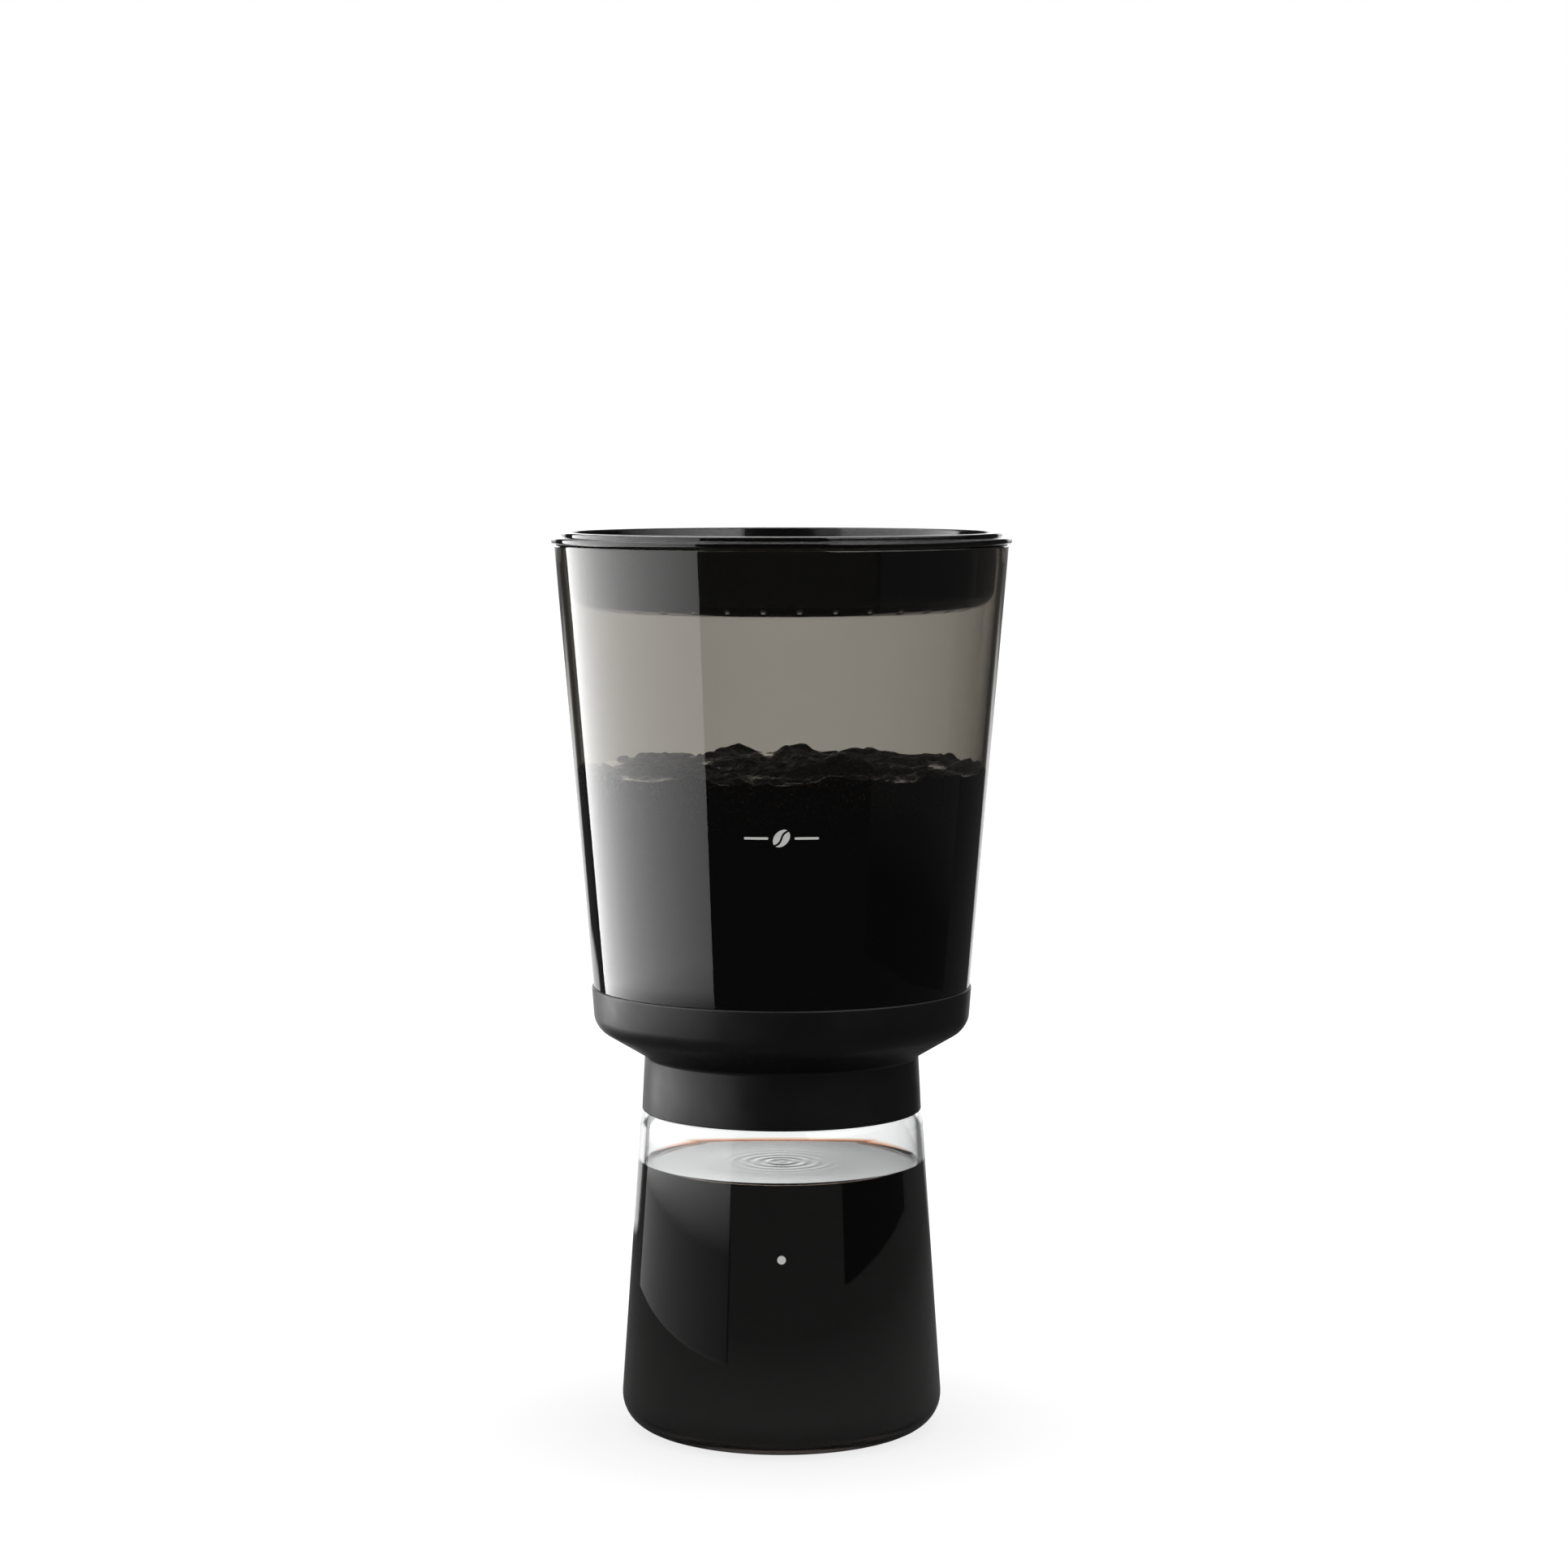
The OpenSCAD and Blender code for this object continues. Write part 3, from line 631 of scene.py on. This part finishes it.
bm = bmesh.new()
draw_chain(bm, [
    (SKIRT_R, SKIRT_Z, 0.4 * MM),
    (WAIST_R, WAIST_Z, 1.5 * MM),
    (BAND_R, BAND_Z, 7 * MM),
    (SEAM_R, SEAM_Z, 0.6 * MM),
    (SPIGOT_R + SPIGOT_PLAY, SEAM_Z, 0),
    (SPIGOT_R + SPIGOT_PLAY, PLATE_Z, 0),
    (LEDGE_R, PLATE_Z, 0.5 * MM),
    (LEDGE_R, BAND_Z + 0.2 * MM, 0),
    (WAIST_R - SHELL_T, WAIST_Z + 1.7 * MM, 3.9 * MM),
    (skirt_in(SEAT_Z + SEAT_T), SEAT_Z + SEAT_T, 0.3 * MM),
    (SEAT_R, SEAT_Z + SEAT_T, 0.3 * MM),
    (SEAT_R, SEAT_Z, 0.3 * MM),
    (skirt_in(SEAT_Z), SEAT_Z, 0),
    (skirt_in(SKIRT_Z + LIP_H), SKIRT_Z + LIP_H, 0),
    (SKIRT_R - 0.7 * MM, SKIRT_Z, 0),
], closed=True)
divide_long(bm)
spin_closed(bm)
for quarter in range(4):
    place = Matrix.Rotation(quarter * math.pi / 2, 4, "Z") @ Matrix.Translation(
        (screws_high.x - SCREW_HEAD_R, 0, PLATE_Z - BOSS_H / 2)
    )
    boss = bmesh.ops.create_cone(
        bm, cap_ends=True, segments=32, radius1=BOSS_R, radius2=BOSS_R, depth=BOSS_H, matrix=place,
    )
    for v in boss["verts"]:
        if v.co.z < PLATE_Z - BOSS_H / 2:
            v.co.z = cone_middle(v.co.xy.length)
base = make_object(bm, "base", base_black)
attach(base, "brewer")
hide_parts("base_shell")

# %% [markdown]
# ## Pouring dish
# The dish hangs in the rim of the container by a flange, with a low bead on top. Its wall follows the
# lean of the container, and its floor ends in a gentle slope. The half section starts and ends on
# the axis, so the spin closes it into one body, with each part as thick as it was drawn.

# %% Pouring dish
FLANGE_T = 2 * MM
BEAD_H = 1.7 * MM
DISH_T = 2 * MM
FLANGE_Z = DISH_TOP_Z - BEAD_H - FLANGE_T
DISH_TOP_R = container_in(RIM_Z) - 0.7 * MM
BEAD_R = DISH_TOP_R + 1 * MM
DISH_FOOT_R = container_in(DISH_Z) - 0.85 * MM
SLOPE_W = 9 * MM
SLOPE_H = 2.4 * MM

dish = turned("pouring_dish", [
    (0, DISH_Z, 0),
    (DISH_FOOT_R - SLOPE_W, DISH_Z, 12 * MM),
    (DISH_FOOT_R, DISH_Z + SLOPE_H, 6 * MM),
    (DISH_TOP_R - 0.2 * MM, FLANGE_Z, 0.8 * MM),
    (FLANGE_R, FLANGE_Z, 0.7 * MM),
    (FLANGE_R, FLANGE_Z + FLANGE_T, 0.7 * MM),
    (BEAD_R, FLANGE_Z + FLANGE_T, 0.4 * MM),
    (BEAD_R, DISH_TOP_Z, 0.6 * MM),
    (DISH_TOP_R - DISH_T, DISH_TOP_Z, 0.6 * MM),
    (DISH_FOOT_R - 1.8 * MM, DISH_Z + SLOPE_H + 1.7 * MM, 4 * MM),
    (DISH_FOOT_R - SLOPE_W - 0.3 * MM, DISH_Z + DISH_T, 10 * MM),
    (0, DISH_Z + DISH_T, 0),
], polished_dish, closed=False)

# %% [markdown]
# ## Holes in the dish
# The floor is drilled with rings of holes, six more in each ring than in the one inside it, and a last
# ring runs round the slope. One boolean with a set of small cylinders cuts them all. The inner faces
# then get the frosted finish.

# %% Holes in the dish
HOLE_R = 1.5 * MM
HOLE_PITCH = 10 * MM
HOLE_RINGS = 6
DRILLED_R = DISH_FOOT_R - 15 * MM
SLOPE_HOLES = 36
SLOPE_HOLES_R = DISH_FOOT_R - 5.5 * MM
DRILL_L = 12 * MM

hole_places = [(0.0, 0.0)]
for ring in range(1, HOLE_RINGS + 1):
    if ring * HOLE_PITCH < DRILLED_R:
        hole_places += [(ring * HOLE_PITCH, math.radians(60 * i / ring)) for i in range(6 * ring)]
slope_step = 360 / SLOPE_HOLES
hole_places += [(SLOPE_HOLES_R, math.radians(slope_step * (i + 0.5))) for i in range(SLOPE_HOLES)]
bm = bmesh.new()
for radius, angle in hole_places:
    place = Matrix.Translation((radius * math.cos(angle), radius * math.sin(angle), DISH_Z + DISH_T))
    bmesh.ops.create_cone(
        bm, cap_ends=True, segments=16, radius1=HOLE_R, radius2=HOLE_R, depth=DRILL_L, matrix=place,
    )
drill = make_object(bm, "drill", polished_dish)
cut = dish.modifiers.new("holes", "BOOLEAN")
cut.object = drill
cut.operation = "DIFFERENCE"
cut.solver = "EXACT"
evaluated = dish.evaluated_get(bpy.context.evaluated_depsgraph_get())
drilled = bpy.data.meshes.new_from_object(evaluated)
dish.modifiers.clear()
dish.data = drilled
dish.data.set_sharp_from_angle(angle=math.radians(30))
dish.data.materials.append(frosted_dish)
dish_middle = Vector((0, 0, DISH_Z + 12 * MM))
for polygon in dish.data.polygons:
    polygon.material_index = int(polygon.normal.dot(polygon.center - dish_middle) < 0)
bpy.data.objects.remove(drill)
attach(dish, "rain_dish")
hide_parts("rain_dish")
print(len(hole_places), "holes,", len(dish.data.polygons), "faces in the dish")

# %% [markdown]
# ## Grounds in the container
# Wet grounds and coffee stand about half way up the container, with heaps of grounds above the level
# and an uneven edge along the wall. Fractal noise and one larger mound raise the spun top, and the
# vertices at its edge are pushed back on the leaning wall.
# The brew wets the wall, so its side reaches a little into the plastic: an air gap there would mirror
# the room and turn the black grey. The underside keeps clear of the filter and its finger pull, and a
# film of brew runs down past the edge of the filter to the floor.

# %% Grounds in the container
filter_low, filter_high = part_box("filter_frame")
GRAIN_STEP = 1.2 * MM
BITE = 0.1 * MM
FILM = 0.15 * MM
PULL_ROOM_R = 10 * MM
PULL_H = 17 * MM
BREW_IN_R = 57.5 * MM
FOOT_H = 7.2 * MM
HEAP_SCALE = 70
HEAP_SHIFT = Vector((4.2, 1.3, 0))
HEAP_H = 3.2 * MM
HEAP_LIFT = 0.9 * MM
MOUND = Vector((19 * MM, -24 * MM, 0))
MOUND_H = 5 * MM
MOUND_R = 11 * MM
grounds_foot = filter_high.z - PULL_H + 0.2 * MM
pull_room_z = filter_high.z + 1 * MM
brew_foot = LAND_Z + FLOOR_RISE - BITE
brew_top = filter_low.z + FOOT_H

bm = bmesh.new()
draw_chain(bm, [
    (0, pull_room_z, 0),
    (PULL_ROOM_R, pull_room_z, 2 * MM),
    (PULL_ROOM_R, grounds_foot, 0),
    (container_in(grounds_foot) - FILM, grounds_foot, 0),
    (container_in(brew_top) - FILM, brew_top, 0),
    (BREW_IN_R, brew_top, 0),
    (BREW_IN_R, brew_foot, 0),
    (container_in(brew_foot) + BITE, brew_foot, 4 * MM),
    (container_in(LEVEL_Z) + BITE, LEVEL_Z, 0),
    (0, LEVEL_Z, 0),
])
divide_long(bm, GRAIN_STEP)
spin_closed(bm)
for face in bm.faces:
    is_top = face.normal.z > 0.5 and face.calc_center_median().z > LEVEL_Z - HAIR
    face.material_index = 0 if is_top else 1
for v in [v for v in bm.verts if v.co.z > LEVEL_Z - HAIR]:
    at_wall = v.co.xy.length > container_in(LEVEL_Z)
    heaps = noise.fractal(v.co * HEAP_SCALE + HEAP_SHIFT, 0.8, 2.0, 5) * HEAP_H
    mound = MOUND_H * math.exp(-((v.co.xy - MOUND.xy).length / MOUND_R) ** 2)
    v.co.z += max(0, heaps + mound + HEAP_LIFT)
    if at_wall:
        v.co.xy *= (container_in(v.co.z) + BITE) / v.co.xy.length
grounds = make_object(bm, "grounds", wet_grounds, soaked_grounds, smooth_angle=60)
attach(grounds, "brewer")

# %% [markdown]
# ## Printed marks
# Low on the front of the container, two dashes with a coffee bean between them show how far to fill
# the grounds. A white dot on the carafe marks a level too. Each print is drawn flat and then wrapped
# on the wall that carries it, a hair's breadth proud. A picture on the wall would do too, but a thin
# mesh keeps its edges sharp from every distance.

# %% Tools for prints
INK = 0.05 * MM
STRIP = 1 * MM


def wrap_on(bm, z, radius_at):
    """Wraps a flat drawing in XZ about height 0 on the front of a turned wall at height z.
    It is cut into upright strips first, which can follow the curve of the wall."""
    reach = math.ceil(max(abs(v.co.x) for v in bm.verts) / STRIP)
    for i in range(-reach, reach + 1):
        bmesh.ops.bisect_plane(
            bm, geom=bm.verts[:] + bm.edges[:] + bm.faces[:], plane_co=(i * STRIP, 0, 0),
            plane_no=(1, 0, 0),
        )
    for v in bm.verts:
        height = z + v.co.z
        radius = radius_at(height) + INK
        angle = v.co.x / radius
        v.co = Vector((radius * math.sin(angle), -radius * math.cos(angle), height))


def flat_disc(bm, radius, stretch=(1, 1), segments=32):
    """A flat ellipse in XZ, made from a circle."""
    place = Matrix.Diagonal((stretch[0], 1, stretch[1], 1)) @ Matrix.Rotation(math.pi / 2, 4, "X")
    disc = bmesh.ops.create_circle(bm, cap_ends=True, segments=segments, radius=radius, matrix=place)
    return disc["verts"]


def draw_dash(bm, length, width, centre_x):
    """A dash with round ends: a disc pulled apart at its middle."""
    for v in flat_disc(bm, width / 2):
        if abs(v.co.x) > HAIR:
            v.co.x += math.copysign(length / 2 - width / 2, v.co.x)
        v.co.x += centre_x


# %% Fill marks
MARK_Z = 205.3 * MM
DASH_L = 7.8 * MM
DASH_W = 0.8 * MM
DASH_X = 8.05 * MM
BEAN_L = 6.4 * MM
BEAN_W = 4.6 * MM
BEAN_SLIT = 0.34 * MM
BEAN_BEND = 0.45 * MM
BEAN_TURN = math.radians(-48)

bm = bmesh.new()
for side in (-1, 1):
    draw_dash(bm, DASH_L, DASH_W, side * DASH_X)
for side in (-1, 1):
    for v in flat_disc(bm, BEAN_L / 2, stretch=(1, BEAN_W / BEAN_L), segments=48):
        bend = BEAN_BEND * math.sin(v.co.x / BEAN_L * 2 * math.pi)
        v.co.z = max(v.co.z, bend + BEAN_SLIT) if side > 0 else min(v.co.z, bend - BEAN_SLIT)
        v.co = Matrix.Rotation(BEAN_TURN, 4, "Y") @ v.co
wrap_on(bm, MARK_Z, container_out)
marks = make_object(bm, "fill_marks", white_ink)
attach(marks, "brewer")

# %% Level dot
DOT_Z = 66 * MM
DOT_R = 1.4 * MM

bm = bmesh.new()
flat_disc(bm, DOT_R)
wrap_on(bm, DOT_Z, lambda z: SHOULDER_R + (SHOULDER_Z - z) * SIDE_LEAN)
dot = make_object(bm, "level_dot", white_ink)
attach(dot, "carafe")

# %% [markdown]
# ## Inner pieces
# The valve, the filter and the fastenings keep their solid forms, which are already right, and get
# their finishes here.

# %% Finishes of the inner pieces
finishes = {
    inner_black: ["base_plate", "base_nut", "drain_fitting", "filter_frame", "valve_stem", "lift_ring"],
    silicone: ["drain_gasket", "seat_ring", "filter_gasket", "valve_seal"],
    steel: ["valve_spring", "stem_clip", "base_screws"],
    wire_cloth: ["filter_mesh"],
}
for material, names in finishes.items():
    for name in names:
        nodes[name].data.materials.clear()
        nodes[name].data.materials.append(material)
    print(material.name, "on", ", ".join(names))

# %% [markdown]
# ## Floor and light
# The photograph is a white studio shot, and dark glossy things in a white room would mirror white all
# over. A studio hangs black cloth where the camera doesn't see it. Here the floor, the world and the
# panels ask what kind of ray has met them, and answer differently to what is seen and what is mirrored.

# %% Tools for light
ONCE_AND_OFTEN = (0.05, 0.55)


def ray_kinds(tree):
    """Three values: 1 for rays seen straight or through glass, 1 for mirrored rays, and a share for rays
    that leave glass after they were mirrored inside it, more for those with a long way in glass."""
    path = tree.nodes.new("ShaderNodeLightPath")
    through = path.outputs["Is Transmission Ray"]
    mirrors = path.outputs["Glossy Depth"]
    bounces = calc(tree, "ADD", mirrors, path.outputs["Diffuse Depth"])
    straight = calc(tree, "MULTIPLY", through, calc(tree, "LESS_THAN", bounces, 0.5))
    seen = calc(tree, "MAXIMUM", straight, path.outputs["Is Camera Ray"])
    often = calc(tree, "GREATER_THAN", mirrors, 1.5)
    far = calc(tree, "GREATER_THAN", path.outputs["Transmission Depth"], 4.5)
    long_way = spread(tree, calc(tree, "MAXIMUM", often, far), (0, 1), ONCE_AND_OFTEN)
    leaving = calc(tree, "MULTIPLY", through, calc(tree, "GREATER_THAN", mirrors, 0.5))
    return seen, path.outputs["Is Glossy Ray"], calc(tree, "MULTIPLY", leaving, long_way)


def bare_tree(owner):
    """The emptied node tree of a material or world."""
    owner.use_nodes = True
    owner.node_tree.nodes.clear()
    return owner.node_tree


# %% [markdown]
# ## Floor
# The paper glows by itself where it is seen, a little less close to the foot, so it stays white behind
# the object, and a weak matt share takes up the soft shadow. In mirrors it is dark close by. Only a
# wedge of it behind the object stays bright, which draws the light line on the left edge of the carafe.

# %% Floor paper
floor_paper = bpy.data.materials.new("floor_paper")
tree = bare_tree(floor_paper)
paper = tree.nodes.new("ShaderNodeBsdfDiffuse")
axes = split_coordinates(tree, "Object")
aside = calc(tree, "ABSOLUTE", axes["X"], 0)
squares = [calc(tree, "POWER", along, 2) for along in (aside, axes["Y"])]
distance = calc(tree, "SQRT", calc(tree, "ADD", *squares), 0)
near_white = spread(tree, distance, (0.06, 0.2), (0.8, 1.0))
seen, mirrored, out_of_glass = ray_kinds(tree)
close_by = calc(tree, "MULTIPLY", mirrored, spread(tree, distance, (0.1, 0.45), (0.14, 0.06)))
elsewhere = spread(tree, mirrored, (0, 1), (0.17, 0.0))
tree.links.new(calc(tree, "MAXIMUM", close_by, elsewhere), paper.inputs["Color"])
left = spread(tree, axes["X"], (-0.03, 0.0), (1.0, 0.0))
width = calc(tree, "MULTIPLY", left, spread(tree, axes["Y"], (0.7, 1.0), (0.26, 0.0)))
off_middle = calc(tree, "SUBTRACT", calc(tree, "DIVIDE", aside, axes["Y"]), width)
ahead = spread(tree, off_middle, (0.42, 0.5), (1.0, 0.0))
left_start = calc(tree, "MULTIPLY", left, spread(tree, axes["Y"], (0.32, 0.35), (0.0, 1.0)))
start = calc(tree, "MAXIMUM", left_start, spread(tree, axes["Y"], (0.3, 0.8), (0.0, 1.0)))
far_off = spread(tree, axes["Y"], (2.0, 4.0), (1.0, 0.1))
far_behind = calc(tree, "MULTIPLY", ahead, calc(tree, "MULTIPLY", start, far_off))
glow = tree.nodes.new("ShaderNodeEmission")
straight = calc(tree, "MULTIPLY", near_white, seen)
reflected = calc(tree, "MULTIPLY", mirrored, far_behind)
shown = calc(tree, "MAXIMUM", straight, reflected)
tree.links.new(calc(tree, "MAXIMUM", shown, out_of_glass), glow.inputs["Strength"])
both = tree.nodes.new("ShaderNodeAddShader")
tree.links.new(paper.outputs[0], both.inputs[0])
tree.links.new(glow.outputs[0], both.inputs[1])
output = tree.nodes.new("ShaderNodeOutputMaterial")
tree.links.new(both.outputs[0], output.inputs["Surface"])
print("material", floor_paper.name)

# %% Floor
FLOOR_R = 6.0

bm = bmesh.new()
bmesh.ops.create_circle(bm, cap_ends=True, segments=96, radius=FLOOR_R)
floor = make_object(bm, "floor", floor_paper)

# %% [markdown]
# ## World
# The world is white where it is seen, and soft light for everything matt. In mirrors it is dark, but
# for a bright wall straight behind, which draws the bright edges of the walls, and a ceiling, which
# lies on the coffee.

# %% World
ROOM_LIGHT = 0.85
ROOM_MIRRORED = 0.04
CEILING_MIRRORED = 0.6

world = bpy.data.worlds.new("studio")
bpy.context.scene.world = world
tree = bare_tree(world)
seen, mirrored, out_of_glass = ray_kinds(tree)
axes = split_coordinates(tree, "Generated")
from_left = spread(tree, axes["X"], (-0.03, 0.03), (2.35, 1.68))
low_down = spread(tree, axes["Z"], (-0.05, 0.02), (0.03, 1.0))
high_up = spread(tree, axes["Z"], (0.12, 0.36), (1.0, 0.5))
lit_paper = calc(tree, "MULTIPLY", from_left, calc(tree, "MULTIPLY", low_down, high_up))
behind = calc(tree, "MULTIPLY", lit_paper, spread(tree, axes["Y"], (0.88, 0.92), (0.0, 1.0)))
above = spread(tree, axes["Z"], (0.3, 0.55), (ROOM_MIRRORED, CEILING_MIRRORED))
bounced = calc(tree, "SUBTRACT", mirrored, seen)
reflected = calc(tree, "MULTIPLY", bounced, calc(tree, "MAXIMUM", behind, above))
shaded = calc(tree, "GREATER_THAN", calc(tree, "ADD", mirrored, out_of_glass), 0)
around = spread(tree, shaded, (0, 1), (ROOM_LIGHT, 0))
unseen = calc(tree, "MAXIMUM", reflected, out_of_glass)
strength = calc(tree, "MAXIMUM", calc(tree, "MAXIMUM", seen, around), unseen)
background = tree.nodes.new("ShaderNodeBackground")
background.inputs["Color"].default_value = (1, 1, 1, 1)
tree.links.new(strength, background.inputs["Strength"])
output = tree.nodes.new("ShaderNodeOutputWorld")
tree.links.new(background.outputs[0], output.inputs["Surface"])
print("room light", ROOM_LIGHT, "and in mirrors", ROOM_MIRRORED, "to", CEILING_MIRRORED)

# %% [markdown]
# ## Light panels
# Curved panels stand round the object, out of the camera's sight, and shine in mirrors alone, with a
# small share inside glass. The large one on the left draws the long bright band on the curved walls,
# and the one on the right is weak. The high ones are what the leaning wall of the dish mirrors once it
# is lifted off. Each panel is an upright edge, spun through its angle.

# %% Tool for panels
FOOT_FADE = (0.043, 0.088)
TOP_FADE = 0.02
TOP_SHARE = 0.7
GLASS_SHARE = 0.15


def arc_panel(name, radius, heights, first, last, near, far, dim):
    """An upright curved panel, dim at its foot, whose light goes from near to far between two angles.
    Angles are in degrees and count to the left from the camera's side."""
    low, high = heights
    bm = bmesh.new()
    foot = bm.verts.new((0, -radius, low))
    top = bm.verts.new((0, -radius, high))
    edge = bm.edges.new((foot, top))
    bmesh.ops.rotate(bm, verts=bm.verts[:], matrix=Matrix.Rotation(math.radians(-first), 3, "Z"))
    bmesh.ops.spin(
        bm, geom=[foot, top, edge], cent=(0, 0, 0), axis=(0, 0, 1),
        angle=math.radians(first - last), steps=32, use_duplicate=False,
    )
    material = bpy.data.materials.new(name)
    tree = bare_tree(material)
    reach = [-radius * math.cos(math.radians(a)) for a in (first, last)]
    light = tree.nodes.new("ShaderNodeEmission")
    axes = split_coordinates(tree, "Object")
    lower = spread(tree, axes["Z"], (low + FOOT_FADE[0], low + FOOT_FADE[1]), (dim, 1.0))
    upper = spread(tree, axes["Z"], (high - TOP_FADE, high), (1.0, TOP_SHARE))
    upright = calc(tree, "MULTIPLY", lower, upper)
    inside = tree.nodes.new("ShaderNodeLightPath").outputs["Is Transmission Ray"]
    share = calc(tree, "MULTIPLY", upright, spread(tree, inside, (0, 1), (1.0, GLASS_SHARE)))
    strength = calc(tree, "MULTIPLY", share, spread(tree, axes["Y"], reach, (near, far)))
    tree.links.new(strength, light.inputs["Strength"])
    clear = tree.nodes.new("ShaderNodeBsdfTransparent")
    mix = tree.nodes.new("ShaderNodeMixShader")
    tree.links.new(ray_kinds(tree)[0], mix.inputs["Fac"])
    tree.links.new(light.outputs[0], mix.inputs[1])
    tree.links.new(clear.outputs[0], mix.inputs[2])
    output = tree.nodes.new("ShaderNodeOutputMaterial")
    tree.links.new(mix.outputs[0], output.inputs["Surface"])
    made = make_object(bm, name, material)
    made.visible_camera = False
    made.visible_shadow = False
    made.visible_diffuse = False


# %% Light panels
PANEL_FOOT = 0.002
PANEL_TOP = 0.8
LEFT_R = 0.31
LEFT_SPLIT = 0.36
LEFT_EDGE = 37.5
LEFT_END = 127
RIGHT_R = 0.62
RIGHT_SPLIT = 0.3

low_left, high_left = (PANEL_FOOT, LEFT_SPLIT), (LEFT_SPLIT, PANEL_TOP)
low_right, high_right = (PANEL_FOOT, RIGHT_SPLIT), (RIGHT_SPLIT, PANEL_TOP)
arc_panel("left_panel", LEFT_R, low_left, LEFT_EDGE, LEFT_END, near=1.5, far=5.4, dim=0.13)
arc_panel("right_panel", RIGHT_R, low_right, -48, -112, near=0.1, far=0.08, dim=0.5)
arc_panel("high_left_panel", LEFT_R, high_left, LEFT_EDGE, LEFT_END, near=2.4, far=4.0, dim=0.85)
arc_panel("high_front_panel", LEFT_R, high_left, 21, LEFT_EDGE, near=0.9, far=0.9, dim=0.85)
arc_panel("high_right_panel", RIGHT_R, high_right, -23, -108, near=3.0, far=0.15, dim=0.1)

# %% [markdown]
# ## Overhead light
# A large weak area light hangs above. It puts the soft shadow round the foot, where a small lamp
# would draw a hard one.

# %% Overhead light
overhead = bpy.data.lights.new("overhead", "AREA")
overhead.shape = "RECTANGLE"
overhead.size = 1.4
overhead.size_y = 1.0
overhead.energy = 6
overhead_object = bpy.data.objects.new("overhead", overhead)
overhead_object.location = (0, 0.1, 1.5)
overhead_object.visible_camera = False
bpy.context.scene.collection.objects.link(overhead_object)
print("overhead light of", overhead.energy, "W")
